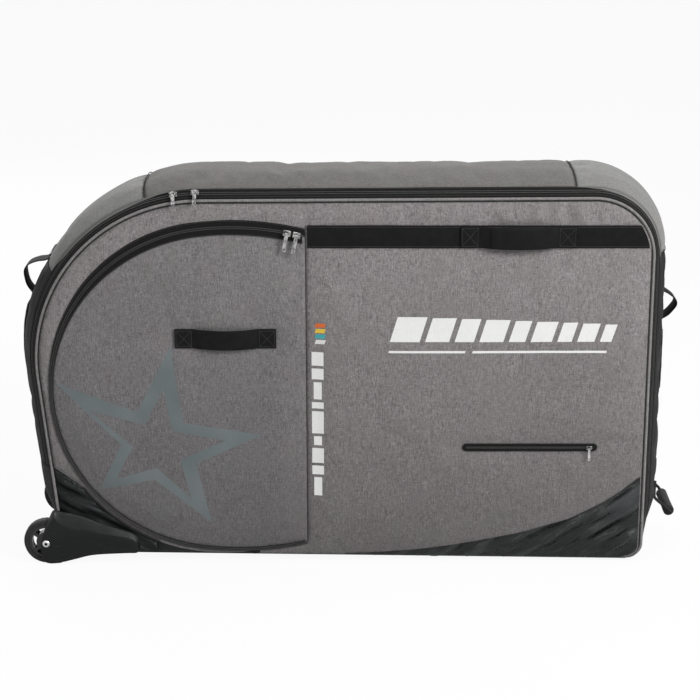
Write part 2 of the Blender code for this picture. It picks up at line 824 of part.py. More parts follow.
gusset("end_gusset_left", base_left_mark, left_seam_mark, "black_fabric")
gusset("corner_gusset_left", left_seam_mark, top_at(TOP_SEAM_LEFT), "heather_fabric")
gusset("top_gusset", top_at(TOP_SEAM_LEFT), top_at(TOP_SEAM_RIGHT), "heather_fabric")
gusset("corner_gusset_right", top_at(TOP_SEAM_RIGHT), right_seam_mark, "heather_fabric")
gusset("end_gusset_right", right_seam_mark, base_right_mark, "black_fabric")


# Main zip and piping

def main_tape(name, y_front, y_back, parent):
    """One tape of the main zip, a strip on the front shoulder of the gusset."""
    rows = []
    for mark in OUTLINE.stations(zip_first, zip_last):
        rows.append([skin(mark, y) for y in spread(y_front, y_back, 3)])
    sheet(name, rows, TAPE, skin_out, "zip_tape", parent)


main_tape("door_zip_tape", BAND_FRONT, DOOR_TAPE_BACK, front_door)
main_tape("body_zip_tape", BODY_TAPE_FRONT, BODY_TAPE_BACK, None)


def piping(name, side, first, last, parent):
    """Piping along the outline, round the edge of a panel."""
    marks = OUTLINE.stations(first, last)
    y = side * (HALF_DEPTH - PIPING_RADIUS)
    points = [(point.x, y, point.y) for point in OUTLINE.offset(marks, lambda mark: 0)]
    tube(name, points, PIPING_RADIUS, "piping", parent, sides=1)


piping("front_piping", -1, zip_first, zip_last, front_door)
piping("back_piping", 1, left_at(AXLE_Z + ARCH_RADIUS + PIPING_RADIUS), zip_last, None)


# Coated patch along the lower right of the front

def right_patch_loop():
    """The patch's upper edge rises from the bottom line towards the right."""
    right = OUTLINE.at(right_at(RIGHT_PATCH_HEIGHT))[0].x - 2 * EDGE
    xs = spread(RIGHT_PATCH_LEFT, right, 12)
    upper = []
    for x in xs:
        share = (x - RIGHT_PATCH_LEFT) / (right - RIGHT_PATCH_LEFT)
        rise = RIGHT_PATCH_HEIGHT * share ** RIGHT_PATCH_POWER
        upper.append((x, foot_z(x) + TAPE + rise))
    low_right = right - RADIUS_FOOT_RIGHT / 2
    foot = [(right, foot_z(right) + RADIUS_FOOT_RIGHT), (low_right, foot_z(low_right) + 2 * GAP)]
    return upper + foot + [(RIGHT_PATCH_LEFT, foot_z(RIGHT_PATCH_LEFT) + 2 * GAP)]


plate("tarp_patch_right", [right_patch_loop()], -FACE - GAP - TAPE, -FACE - GAP, "tarpaulin", front_door)


# Base: a moulded slab with skid ribs, and the stiff board that lies on it

BASE_LEFT = OUTLINE.at(OUTLINE.starts[1])[0].x
BASE_RIGHT = OUTLINE.at(OUTLINE.starts[8])[0].x


def slab_loop(below, above, inset):
    """A slab that follows the bottom line, from below it to above it, between the end gussets."""
    left, right = BASE_LEFT + inset, BASE_RIGHT - inset
    return [
        (left, foot_z(left) - below), (left, foot_z(left) + above),
        (right, foot_z(right) + above), (right, foot_z(right) - below),
    ]


BASE_FRONT = INNER_FACE - 5 * GAP
slab = slab_loop(BASE / 2, BASE / 2, GAP)
base_panel = as_mesh(plate("base_panel", [slab], -BASE_FRONT, BASE_FRONT, "moulded_black"))
for rib in (-1, 0, 1):
    ribs = bmesh.new()
    side = rib * SKID_SPACING
    top = foot_z(SKID_RIGHT)
    box(ribs, (SKID_LEFT, side - SKID_WIDTH / 2, 0), (SKID_RIGHT, side + SKID_WIDTH / 2, top))
    combine(base_panel, ribs, "UNION", "skid_rib_" + str(rib + 2))

board_low = BASE / 2 + GAP
plate("base_board", [slab_loop(-board_low, board_low + BOARD, GAP)],
      -BASE_FRONT + BOARD, BASE_FRONT - BOARD, "board")


# Stiffening hoops that stand on the board inside each end

def hoop(name, side_point, top):
    """A bent tube: up the front corner of an end, across, and down its back corner."""
    low_x, low_z = side_point(LEFT_FOOT_Z + CROWN_RISE)
    foot_x = BASE_LEFT + 2 * HOOP_RADIUS if low_x < 0 else BASE_RIGHT - 2 * HOOP_RADIUS
    foot = foot_z(foot_x) + board_low + BOARD + 3 * GAP
    points = [
        (foot_x, -HOOP_HALF_SPAN, foot), (foot_x, -HOOP_HALF_SPAN, foot + HOOP_BEND / 2),
        (low_x, -HOOP_HALF_SPAN, low_z),
    ]
    high = top - HOOP_BEND
    turns = spread(0, math.pi / 2, 5)
    for turn in turns:
        z = high + HOOP_BEND * math.sin(turn)
        y = -HOOP_HALF_SPAN + HOOP_BEND * (1 - math.cos(turn))
        points.append((side_point(z)[0], y, z))
    for x, y, z in points[::-1]:
        points.append((x, -y, z))
    tube(name, points, HOOP_RADIUS, "hoop_tube")


def left_hoop_point(z):
    """A point inside the left end at height z."""
    point, normal = OUTLINE.at(left_at(z))
    return tuple(point - normal * HOOP_INSET)


def right_hoop_point(z):
    """A point inside the right end at height z."""
    point, normal = OUTLINE.at(right_at(z))
    return tuple(point - normal * HOOP_INSET)


hoop("end_hoop_left", left_hoop_point, LEFT_HOOP_TOP)
hoop("end_hoop_right", right_hoop_point, RIGHT_HOOP_TOP)


# Wheel housings: a moulded cheek over the panel, an arch round the wheel and an inner cheek

WHEEL_OUT = HALF_DEPTH + WHEEL_PROUD
WHEEL_MIDDLE = WHEEL_OUT - WHEEL_WIDTH / 2
WHEEL_IN = WHEEL_OUT - WHEEL_WIDTH
CHEEK_INNER = WHEEL_OUT + WHEEL_SIDE_GAP
CHEEK_OUTER = CHEEK_INNER + CHEEK
BACK_CHEEK_OUTER = WHEEL_IN - WHEEL_SIDE_GAP
BACK_CHEEK_INNER = BACK_CHEEK_OUTER - INNER_CHEEK

# The cheek's outline from its tall end at the wheel to its low end, as shares of reach and height
CHEEK_TOP_SHARES = [
    (0.03, 1.0), (0.08, 0.93), (0.18, 0.88), (0.36, 0.82), (0.62, 0.68), (0.9, 0.53), (0.97, 0.46),
    (1.0, 0.38), (1.0, 0.24), (0.97, 0.215),
]
CHEEK_FOOT_SHARES = [(0.7, 0.205), (0.5, 0.185), (0.34, 0.115), (0.2, 0.055), (0.08, 0.02), (0.01, 0.03)]
CHEEK_SIDE_SHARES = [(-0.025, 0.12), (-0.03, 0.3), (-0.015, 0.5), (0.025, 0.7), (0.05, 0.85)]


def cheek_loop():
    """The side view of the housing."""
    left = AXLE_X - WHEEL_RADIUS / 5
    points = []
    for along, up in CHEEK_TOP_SHARES + CHEEK_FOOT_SHARES + CHEEK_SIDE_SHARES:
        points.append((left + along * HOUSING_REACH, up * HOUSING_HEIGHT))
    return points


def inset(loop, amount):
    """A closed loop of (x, z) points moved inwards at each corner by an amount."""
    moved = []
    area = sum(x_a * z_b - x_b * z_a for (x_a, z_a), (x_b, z_b) in zip(loop, loop[1:] + loop[:1]))
    turn = 1 if area > 0 else -1
    for before, here, after in zip(loop[-1:] + loop[:-1], loop, loop[1:] + loop[:1]):
        into = (Vector(here) - Vector(before)).normalized()
        out = (Vector(after) - Vector(here)).normalized()
        inward = Vector((-into.y - out.y, into.x + out.x)).normalized() * turn
        moved.append(tuple(Vector(here) + inward * amount))
    return moved


def cheek(name, side):
    """The cheek: an upright wall that slopes in over a shoulder to a flat outer face."""
    rings = ((0, HALF_DEPTH + 2 * GAP), (0, CHEEK_OUTER - SHOULDER), (SHOULDER, CHEEK_OUTER))
    bm = bmesh.new()
    loops = []
    for amount, y in rings:
        loops.append([bm.verts.new((x, side * y, z)) for x, z in inset(cheek_loop(), amount)])
    for near, far in zip(loops, loops[1:]):
        for a, b, c, d in zip(near, near[1:] + near[:1], far[1:] + far[:1], far):
            bm.faces.new((a, b, c, d))
    bm.faces.new(loops[0])
    bm.faces.new(loops[-1])
    bmesh.ops.recalc_face_normals(bm, faces=bm.faces)
    return place(name, mesh_from(bm, name), "moulded_black")


def housing(name, side):
    """One housing, with the room for the wheel and the axle's hole cut out of it."""
    made = cheek(name, side)
    arch = bmesh.new()
    turns = spread(ARCH_FROM, ARCH_TO, 15)
    left = AXLE_X - WHEEL_RADIUS / 6
    rim = []
    for turn in turns:
        rim.append((AXLE_X + ARCH_RADIUS * math.cos(turn), AXLE_Z + ARCH_RADIUS * math.sin(turn)))
    loop = [(left, AXLE_Z - WHEEL_RADIUS / 3)] + rim + [(left, rim[-1][1])]
    near = side * (HALF_DEPTH + 3 * CHEEK / 5)
    far = side * BACK_CHEEK_INNER
    base = [arch.verts.new((x, near, z)) for x, z in loop]
    face = arch.faces.new(base)
    grown = bmesh.ops.extrude_face_region(arch, geom=[face])
    moved = [item for item in grown["geom"] if isinstance(item, bmesh.types.BMVert)]
    bmesh.ops.translate(arch, verts=moved, vec=(0, far - near, 0))
    bmesh.ops.recalc_face_normals(arch, faces=arch.faces)
    combine(made, arch, "UNION", name + "_arch")
    room = bmesh.new()
    width = CHEEK_INNER - BACK_CHEEK_OUTER
    middle = side * (CHEEK_INNER + BACK_CHEEK_OUTER) / 2
    cylinder(room, WHEEL_RADIUS + ARCH_GAP, width, (AXLE_X, middle, AXLE_Z), sides=32)
    combine(made, room, "DIFFERENCE", name + "_room")
    hole = bmesh.new()
    cylinder(hole, AXLE_RADIUS + GAP, HALF_DEPTH, (AXLE_X, side * HALF_DEPTH, AXLE_Z))
    combine(made, hole, "DIFFERENCE", name + "_axle_hole")
    return made


housing("wheel_housing_front", -1)
housing("wheel_housing_back", 1)


# Wheels: a spoked hub, its tyre and a bush, all on an axle bolt

def slotted_hub_loops():
    """The hub's outer edge, the bush's hole and a rounded slot between each pair of spokes."""
    rim = WHEEL_RADIUS - TYRE_DEPTH - GAP
    loops = []
    for radius, count in ((rim, 40), (BUSH_RADIUS + GAP, 16)):
        loops.append([
            (radius * math.cos(2 * math.pi * step / count), radius * math.sin(2 * math.pi * step / count))
            for step in range(count)
        ])
    outer = SLOT_OUTER_SHARE * rim
    inner = SLOT_INNER_SHARE * rim
    spoke = SPOKE_SHARE * rim
    for number in range(SPOKES):
        middle = 2 * math.pi * (number + 0.5) / SPOKES
        half = math.pi / SPOKES
        wide = half - spoke / outer
        slim = half - spoke / inner
        slot = []
        for share in spread(-1, 1, 6):
            slot.append((outer * math.cos(middle + wide * share), outer * math.sin(middle + wide * share)))
        for share in spread(1, -1, 4):
            slot.append((inner * math.cos(middle + slim * share), inner * math.sin(middle + slim * share)))
        loops.append(slot)
    return loops


def wheel(side, word):
    """Hub, tyre, bush and axle bolt of one wheel."""
    middle = side * WHEEL_MIDDLE
    spin = pivot("wheel_" + word + "_spin", axes((AXLE_X, middle, AXLE_Z), (0, 1, 0), (0, 0, 1)))
    half = WHEEL_WIDTH / 2
    hub = plate("wheel_hub_" + word, slotted_hub_loops(), -half + HANDLE_THICK / 2, half - HANDLE_THICK / 2,
                "moulded_black", spin)
    upright = Matrix.Rotation(math.radians(90), 4, "X")
    hub.matrix_world = Matrix.Translation((AXLE_X, middle, AXLE_Z)) @ upright
    inner = WHEEL_RADIUS - TYRE_DEPTH
    round_off = TYRE_DEPTH / 4
    tyre = [
        (WHEEL_RADIUS, -half + 2 * round_off), (WHEEL_RADIUS, half - 2 * round_off),
        (WHEEL_RADIUS - round_off / 2, half - round_off / 2), (WHEEL_RADIUS - 2 * round_off, half),
        (inner, half), (inner, -half),
        (WHEEL_RADIUS - 2 * round_off, -half), (WHEEL_RADIUS - round_off / 2, -half + round_off / 2),
    ]
    turned("wheel_tyre_" + word, tyre, (AXLE_X, middle, AXLE_Z), "tyre_rubber", spin)
    bore = AXLE_RADIUS + GAP
    bush = [(BUSH_RADIUS, -half), (BUSH_RADIUS, half), (bore, half), (bore, -half)]
    turned("wheel_bush_" + word, bush, (AXLE_X, middle, AXLE_Z), "steel", spin, 20)
    head = CHEEK_OUTER + GAP - WHEEL_MIDDLE
    tail = BACK_CHEEK_INNER - WHEEL_MIDDLE
    bolt = [
        (0, tail - AXLE_HEAD / 2), (AXLE_RADIUS - GAP, tail - AXLE_HEAD / 2), (AXLE_RADIUS, tail),
        (AXLE_RADIUS, head), (AXLE_HEAD_RADIUS, head), (AXLE_HEAD_RADIUS, head + AXLE_HEAD / 2),
        (AXLE_HEAD_RADIUS - AXLE_HEAD / 2, head + AXLE_HEAD), (0, head + AXLE_HEAD),
    ]
    profile = [(radius, side * along) for radius, along in bolt]
    turned("axle_bolt_" + word, profile, (AXLE_X, middle, AXLE_Z), "steel", None, 20)


wheel(-1, "front")
wheel(1, "back")


# Webbing: flat straps and bowed handles

def flat_strap(name, side, parent):
    """The long strap sewn across the upper right of a panel."""
    left = SEAM_X + HANDLE_THICK
    y = side * (FACE + GAP)
    rows = []
    for x in (left, STRAP_RIGHT):
        rows.append([Vector((x, y, STRAP_HEIGHT + half * STRAP_WIDTH / 2)) for half in (-1, 1)])
    sheet(name, rows, WEBBING, lambda point: Vector((0, -side, 0)), "webbing", parent)


def bowed_handle(name, side, left, right, height, width, base, parent):
    """A handle sewn down at both ends and bowed away from the face between them."""
    rows = []
    inner = right - left - 2 * HANDLE_FOOT
    xs = [left] + [left + HANDLE_FOOT + inner * share for share in spread(0, 1, 13)] + [right]
    for x in xs:
        share = (x - left - HANDLE_FOOT) / inner
        lift = 0
        if 0 < share < 1:
            lift = HANDLE_LIFT * math.sin(math.pi * share) ** HANDLE_BOW_POWER
        y = side * (base + lift)
        rows.append([Vector((x, y, height + half * width / 2)) for half in (-1, 1)])
    sheet(name, rows, HANDLE_THICK, lambda point: Vector((0, -side, 0)), "webbing", parent)


STRAP_FACE = FACE + GAP + WEBBING + GAP
GRAB_FACE = FACE + GAP
flat_strap("front_carry_strap", -1, front_door)
flat_strap("back_carry_strap", 1, None)
bowed_handle("front_carry_handle", -1, CARRY_LEFT, CARRY_RIGHT, STRAP_HEIGHT, HANDLE_WIDTH, STRAP_FACE,
             front_door)
bowed_handle("back_carry_handle", 1, CARRY_LEFT, CARRY_RIGHT, STRAP_HEIGHT, HANDLE_WIDTH, STRAP_FACE, None)
bowed_handle("front_grab_handle", -1, GRAB_LEFT, GRAB_RIGHT, GRAB_HEIGHT, GRAB_WIDTH, GRAB_FACE,
             front_flap_hinge)
bowed_handle("back_grab_handle", 1, GRAB_LEFT, GRAB_RIGHT, GRAB_HEIGHT, GRAB_WIDTH, GRAB_FACE,
             back_flap_hinge)


# Loops on the ends: webbing that stands off in a loop and runs down under a padded sleeve

def end_loop(word, mark_at, top):
    """The webbing loop of one end and the sleeve round the webbing below it."""
    bottom = top - LOOP_SPAN
    sleeve_top = bottom - SLEEVE_DROP
    sleeve_low = sleeve_top - SLEEVE_LENGTH
    lowest = sleeve_low - SLEEVE_DROP
    path = [(top + SLEEVE_DROP, 0)]
    for z, share in zip(spread(top, bottom, len(LOOP_STAND_OFF_SHARES)), LOOP_STAND_OFF_SHARES):
        path.append((z, share * LOOP_REACH))
    path += [(z, 0) for z in spread(bottom - SLEEVE_DROP / 2, lowest, 7)]
    rows = []
    for z, lift in path:
        inner = skin(mark_at(z), 0, GAP + lift)
        rows.append([Vector((inner.x, half * LOOP_WIDTH / 2, inner.z)) for half in (-1, 1)])
    inward = 1 if word == "left" else -1
    sheet("end_loop_" + word, rows, WEBBING, lambda point: Vector((inward, 0, 0)), "webbing")
    base = 2 * GAP + WEBBING
    sleeve = []
    for z in spread(sleeve_top, sleeve_low, 7):
        inner = skin(mark_at(z), 0, base)
        sleeve.append([Vector((inner.x, share * SLEEVE_WIDTH / 2, inner.z)) for share in (-1, 1)])
    sheet("end_sleeve_" + word, sleeve, SLEEVE_THICK, lambda point: Vector((inward, 0, 0)), "webbing")


end_loop("left", left_at, LEFT_LOOP_TOP)
end_loop("right", right_at, RIGHT_LOOP_TOP)


# Pull strap and grip low on the right end

def pull_strap():
    """A strap from two points of the end gusset to a grip that lies along Y."""
    half = PULL_GRIP_LENGTH / 2
    across = half + 3 * PULL_CORD_RADIUS
    lift = PULL_CORD_RADIUS - 2 * GAP
    anchor = skin(right_at(PULL_HEIGHT + PULL_RISE), across, lift)
    side = [
        tuple(skin(right_at(PULL_HEIGHT + PULL_RISE + PULL_SEWN), across, lift)),
        (anchor.x, across, anchor.z),
        (anchor.x + PULL_CORD_RADIUS, across, anchor.z - PULL_RISE / 4),
        (PULL_REACH - 2 * PULL_CORD_RADIUS, across, PULL_HEIGHT + PULL_RISE / 4),
        (PULL_REACH, across - PULL_CORD_RADIUS / 2, PULL_HEIGHT + PULL_CORD_RADIUS / 2),
        (PULL_REACH, half, PULL_HEIGHT),
    ]
    points = side + [(x, -y, z) for x, y, z in side[::-1]]
    tube("pull_strap", points, PULL_CORD_RADIUS, "webbing")
    bore = PULL_CORD_RADIUS + GAP
    waist = PULL_GRIP_RADIUS - 2 * GAP
    profile = [
        (PULL_GRIP_RADIUS - GUSSET / 2, -half), (PULL_GRIP_RADIUS, -half + GUSSET), (waist, 0),
        (PULL_GRIP_RADIUS, half - GUSSET), (PULL_GRIP_RADIUS - GUSSET / 2, half),
        (bore, half), (bore, -half),
    ]
    turned("pull_grip", profile, (PULL_REACH, 0, PULL_HEIGHT), "tyre_rubber", None, 20)


pull_strap()


# Accessory pocket zip

def slot_loop(left, right, height, width):
    """A long slot with round ends."""
    radius = width / 2
    points = []
    for centre, first in ((right - radius, -90), (left + radius, 90)):
        for share in spread(0, 180, 7):
            turn = math.radians(first + share)
            points.append((centre + radius * math.cos(turn), height + radius * math.sin(turn)))
    return points


plate("pocket_zip", [slot_loop(POCKET_ZIP_LEFT, POCKET_ZIP_RIGHT, POCKET_ZIP_HEIGHT, POCKET_ZIP_WIDTH)],
      -FACE - GAP - TAPE, -FACE - GAP, "zip_tape", front_door)


# Zip sliders: a base with two cheeks and a bar, and a pull tab whose knuckle turns on the bar

def slider_mesh():
    """The slider, with the zip along X and +Z away from the tape."""
    bm = bmesh.new()
    half_x, half_y = SLIDER_LENGTH / 2, SLIDER_WIDTH / 2
    box(bm, (-half_x, -half_y, SLIDER_LIFT), (half_x, half_y, SLIDER_LIFT + SLIDER_THICK))
    bmesh.ops.bevel(bm, geom=list(bm.edges), offset=SLIDER_LIFT, segments=1, affect="EDGES")
    return mesh_from(bm, "slider_base")


def fused(name, data, parts):
    """A mesh joined with further bmesh shapes, evaluated once so that copies can share it."""
    made = place(name, data, "zinc", None, cutters)
    for number, part in enumerate(parts):
        combine(made, part, "UNION", name + "_" + str(number))
    bpy.context.view_layer.update()
    evaluated = made.evaluated_get(bpy.context.evaluated_depsgraph_get())
    joined = bpy.data.meshes.new_from_object(evaluated)
    joined.name = name
    joined.shade_smooth()
    joined.set_sharp_from_angle(angle=math.radians(35))
    made.hide_render = True
    made.display_type = "WIRE"
    return joined


def slider_shapes():
    """The shared meshes of slider and pull tab."""
    cheeks = []
    bar_z = SLIDER_LIFT + SLIDER_BAR_HEIGHT
    cheek_x = SLIDER_LENGTH / 2 - SLIDER_LIFT
    for side in (-1, 1):
        shape = bmesh.new()
        near, far = sorted((side * cheek_x, side * (cheek_x - SLIDER_CHEEK)))
        box(shape, (near, -SLIDER_CHEEK, SLIDER_THICK), (far, SLIDER_CHEEK, bar_z + SLIDER_CHEEK))
        cheeks.append(shape)
    bar = bmesh.new()
    cylinder(bar, SLIDER_BAR_RADIUS, 2 * cheek_x - SLIDER_CHEEK, (0, 0, bar_z), sides=8, along="X")
    slider = fused("zip_slider", slider_mesh(), cheeks + [bar])
    knuckle_half = TAB_WIDTH / 2
    knuckle = bmesh.new()
    cylinder(knuckle, TAB_KNUCKLE_RADIUS, 2 * knuckle_half, (0, 0, 0), sides=12, along="X")
    leaf = bmesh.new()
    leaf_half = knuckle_half - GAP
    leaf_low = (-leaf_half, -TAB_LENGTH, -TAB_THICK / 2)
    box(leaf, leaf_low, (leaf_half, -TAB_KNUCKLE_BORE, TAB_THICK / 2))
    tab_base = place("tab_base", mesh_from(knuckle, "tab_base"), "zinc", None, cutters)
    tab_base.hide_render = True
    tab_base.display_type = "WIRE"
    combine(tab_base, leaf, "UNION", "tab_leaf")
    bore = bmesh.new()
    cylinder(bore, TAB_KNUCKLE_BORE, 2 * TAB_WIDTH, (0, 0, 0), sides=12, along="X")
    combine(tab_base, bore, "DIFFERENCE", "tab_bore")
    eye = bmesh.new()
    cylinder(eye, TAB_EYE, TAB_WIDTH, (0, 2 * TAB_EYE - TAB_LENGTH, 0), sides=12, along="Z")
    combine(tab_base, eye, "DIFFERENCE", "tab_eye")
    bpy.context.view_layer.update()
    tab = bpy.data.meshes.new_from_object(tab_base.evaluated_get(bpy.context.evaluated_depsgraph_get()))
    tab.name = "pull_tab"
    return slider, tab, bar_z


SLIDER, TAB, BAR_HEIGHT = slider_shapes()


def zip_slider(name, origin, along, out, run_pivot, parent, share=1):
    """A slider and its pull tab, on empties for the run and for the tab's hinge."""
    seat = axes(origin, along, out) @ Matrix.Scale(share, 4)
    run = pivot(name + "_run", run_pivot, parent)
    slider = place(name, SLIDER, None, run)
    slider.matrix_world = seat
    hinge = pivot(name + "_tab_hinge", seat @ Matrix.Translation((0, 0, BAR_HEIGHT)), run)
    tab = place(name + "_tab", TAB, None, hinge)
    tab.matrix_world = seat @ Matrix.Translation((0, 0, BAR_HEIGHT))


def band_seat(mark):
    """A place on the main zip's line: the point, the way along it and the way out."""
    y = (DOOR_TAPE_BACK + BODY_TAPE_FRONT) / 2
    step = 10 * GAP
    here = skin(mark, y)
    along = skin(mark + step, y) - skin(mark - step, y)
    across = skin(mark, y + step) - skin(mark, y - step)
    return here, along, across.cross(along) * -1


left_slider = band_seat(top_at(LEFT_SLIDER_X))
right_slider = band_seat(top_at(RIGHT_SLIDER_X))
corner_centre = Vector((TOP_LEFT_ARC[1].x, left_slider[0].y, TOP_LEFT_ARC[1].y))
zip_slider("main_slider_left", *left_slider, axes(corner_centre, (0, -1, 0), (0, 0, 1)), front_door)
top_start, top_end = OUTLINE.at(TOP_SIDE[0])[0], OUTLINE.at(TOP_SIDE[1])[0]
top_way = Vector((top_end.x - top_start.x, 0, top_end.y - top_start.y))
zip_slider("main_slider_right", *right_slider, axes(right_slider[0], top_way, (0, 0, 1)), front_door)


def flap_seat(along_x, side):
    """A place on the flap's zip line at a distance from the seam."""
    turn = math.acos((SEAM_X - along_x - FLAP_TOP_CENTRE.x) / FLAP_TOP_RADIUS)
    normal = Vector((math.cos(turn), math.sin(turn)))
    point = FLAP_TOP_CENTRE + normal * FLAP_TOP_RADIUS
    origin = Vector((point.x, side * (FACE + GAP + TAPE), point.y))
    return origin, Vector((normal.y, 0, -normal.x)) * -side, Vector((0, side, 0))


for name, distance, side, hinge in (
        ("front_flap_slider_a", FLAP_SLIDER_FAR, -1, front_flap_hinge),
        ("front_flap_slider_b", FLAP_SLIDER_NEAR, -1, front_flap_hinge),
        ("back_flap_slider", FLAP_SLIDER_NEAR, 1, back_flap_hinge)):
    origin, along, out = flap_seat(distance, side)
    arc_centre = Vector((FLAP_TOP_CENTRE.x, origin.y, FLAP_TOP_CENTRE.y))
    zip_slider(name, origin, along, out, axes(arc_centre, (0, -1, 0), (0, 0, 1)), hinge)

pocket_seat = Vector((POCKET_ZIP_RIGHT - SLIDER_LENGTH, -FACE - GAP - TAPE, POCKET_ZIP_HEIGHT))
zip_slider("pocket_slider", pocket_seat, (1, 0, 0), (0, -1, 0),
           axes(pocket_seat, (-1, 0, 0), (0, 0, 1)), front_door, POCKET_SLIDER_SHARE)
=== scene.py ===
import math

import bpy
import numpy as np
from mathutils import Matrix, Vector, noise
from mathutils.bvhtree import BVHTree
from mathutils.geometry import delaunay_2d_cdt


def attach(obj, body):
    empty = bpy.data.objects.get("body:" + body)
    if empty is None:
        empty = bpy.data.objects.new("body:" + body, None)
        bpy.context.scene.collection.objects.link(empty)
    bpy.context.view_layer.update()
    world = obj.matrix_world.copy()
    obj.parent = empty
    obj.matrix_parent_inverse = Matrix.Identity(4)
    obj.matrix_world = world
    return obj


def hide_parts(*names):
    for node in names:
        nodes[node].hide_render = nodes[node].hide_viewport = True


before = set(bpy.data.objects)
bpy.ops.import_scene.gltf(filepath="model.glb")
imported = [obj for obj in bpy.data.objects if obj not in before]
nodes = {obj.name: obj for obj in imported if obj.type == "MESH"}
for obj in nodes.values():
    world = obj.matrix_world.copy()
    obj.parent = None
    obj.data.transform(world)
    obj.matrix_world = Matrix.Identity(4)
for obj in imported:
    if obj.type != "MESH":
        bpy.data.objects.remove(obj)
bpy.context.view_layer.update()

# Camera: at standing eye height in front of the bag, looking a little down on it, with a long
# lens. The bag lies along X with its wheels at -X and its door towards -Y.
camera = bpy.data.objects.new("camera", bpy.data.cameras.new("camera"))
bpy.context.collection.objects.link(camera)
camera.location = (-0.005, -3.695, 1.6439)
camera.rotation_euler = (math.radians(71.95), 0, 0)
camera.data.sensor_width = 36
camera.data.lens = 91.85
bpy.context.scene.camera = camera
bpy.context.scene.view_settings.view_transform = "Standard"


# Studio: a white room with an even light, a large soft lamp from the upper right, and a pale
# floor that keeps the bag's shadow.
class Signal:
    """A socket of a node tree. Sums of signals and numbers add Math nodes to the tree."""

    def __init__(self, tree, socket=None):
        self.tree = tree
        self.socket = socket

    def node(self, kind, settings=(), output=0, **sockets):
        """A node of that kind: its settings first, then its sockets' values or links."""
        made = self.tree.nodes.new("ShaderNode" + kind)
        for key, value in dict(settings).items():
            if key == "stops":
                ramp = made.color_ramp.elements
                for number, (place, shade) in enumerate(value):
                    stop = ramp[number] if number < 2 else ramp.new(place)
                    stop.position = place
                    stop.color = shade if len(shade) == 4 else (*shade, 1)
            else:
                setattr(made, key, value)
        for key, value in sockets.items():
            socket = made.inputs[int(key[1:]) if key[1:].isdigit() else key.replace("_", " ")]
            if isinstance(value, Signal):
                self.tree.links.new(value.socket, socket)
            else:
                socket.default_value = value
        return Signal(self.tree, made.outputs[output] if made.outputs else None)

    def math(self, operation, *terms):
        return self.node("Math", {"operation": operation}, **{"i%d" % n: t for n, t in enumerate(terms)})

    def __add__(self, other):
        return self.math("ADD", self, other)

    def __sub__(self, other):
        return self.math("SUBTRACT", self, other)

    def __rsub__(self, other):
        return self.math("SUBTRACT", other, self)

    def __mul__(self, other):
        return self.math("MULTIPLY", self, other)

    def __gt__(self, other):
        return self.math("GREATER_THAN", self, other)

    def __lt__(self, other):
        return self.math("LESS_THAN", self, other)

    __radd__ = __add__
    __rmul__ = __mul__

    def scaled(self, factors):
        """A position stretched by a factor along each axis."""
        return self.node("VectorMath", {"operation": "MULTIPLY"}, i0=self, i1=factors)

    def speckle(self, factors, detail=2, roughness=0.5):
        """Noise at this position, with so many grains to the metre along each axis."""
        return self.node("TexNoise", Vector=self.scaled(factors), Scale=1.0, Detail=detail,
                         Roughness=roughness)

    def between(self, low, high):
        """This value carried from the range low to high onto 0 to 1, and held there."""
        return self.node("MapRange", {"clamp": True}, i0=self, i1=low, i2=high, i3=0.0, i4=1.0)

    def mix(self, under, over):
        """The colour over where this value is 1, and the colour under where it is 0."""
        under = under if isinstance(under, Signal) else (*under, 1)
        over = over if isinstance(over, Signal) else (*over, 1)
        return self.node("Mix", {"data_type": "RGBA"}, 2, i0=self, i6=under, i7=over)


world = bpy.data.worlds.new("studio")
bpy.context.scene.world = world
world.use_nodes = True
world.node_tree.nodes.clear()
room = Signal(world.node_tree)
camera_ray, glossy_ray, inner_ray = [room.node("LightPath", output=index) for index in (0, 3, 6)]
seen = room.math("MAXIMUM", room.math("MAXIMUM", camera_ray, glossy_ray), inner_ray)
even = room.node("Background", Color=(0.385, 0.39, 0.395, 1), Strength=1.0)
white = room.node("Background", Color=(1, 1, 1, 1), Strength=1.0)
mixed = room.node("MixShader", i0=seen, i1=even, i2=white)
room.node("OutputWorld", Surface=mixed)


def lamp(name, watts, size, place, target):
    """A square soft lamp that faces a target."""
    data = bpy.data.lights.new(name, "AREA")
    data.energy = watts
    data.size = size
    made = bpy.data.objects.new(name, data)
    bpy.context.collection.objects.link(made)
    made.location = place
    made.rotation_euler = (Vector(target) - Vector(place)).to_track_quat("-Z", "Y").to_euler()


lamp("key_lamp", 150, 1.8, (2.5, -2.5, 2.7), (0.3, 0, 0.5))
lamp("fill_lamp", 26, 0.7, (-2.2, -2.6, 3.3), (0.2, 0, 0.3))
lamp("top_lamp", 12, 1.6, (0.7, 0.1, 3.0), (0.2, 0, 0.4))
lamp("back_lamp", 50, 2.4, (-1.6, 3.2, 2.2), (0, 0, 0.4))


def mesh_piece(name, points, faces, finish=None, smooth=True):
    """An object from points and faces, linked to the scene."""
    data = bpy.data.meshes.new(name)
    data.from_pydata([tuple(p) for p in points], [], [tuple(f) for f in faces])
    if smooth:
        data.shade_smooth()
    if finish:
        data.materials.append(finish)
    made = bpy.data.objects.new(name, data)
    bpy.context.collection.objects.link(made)
    return made


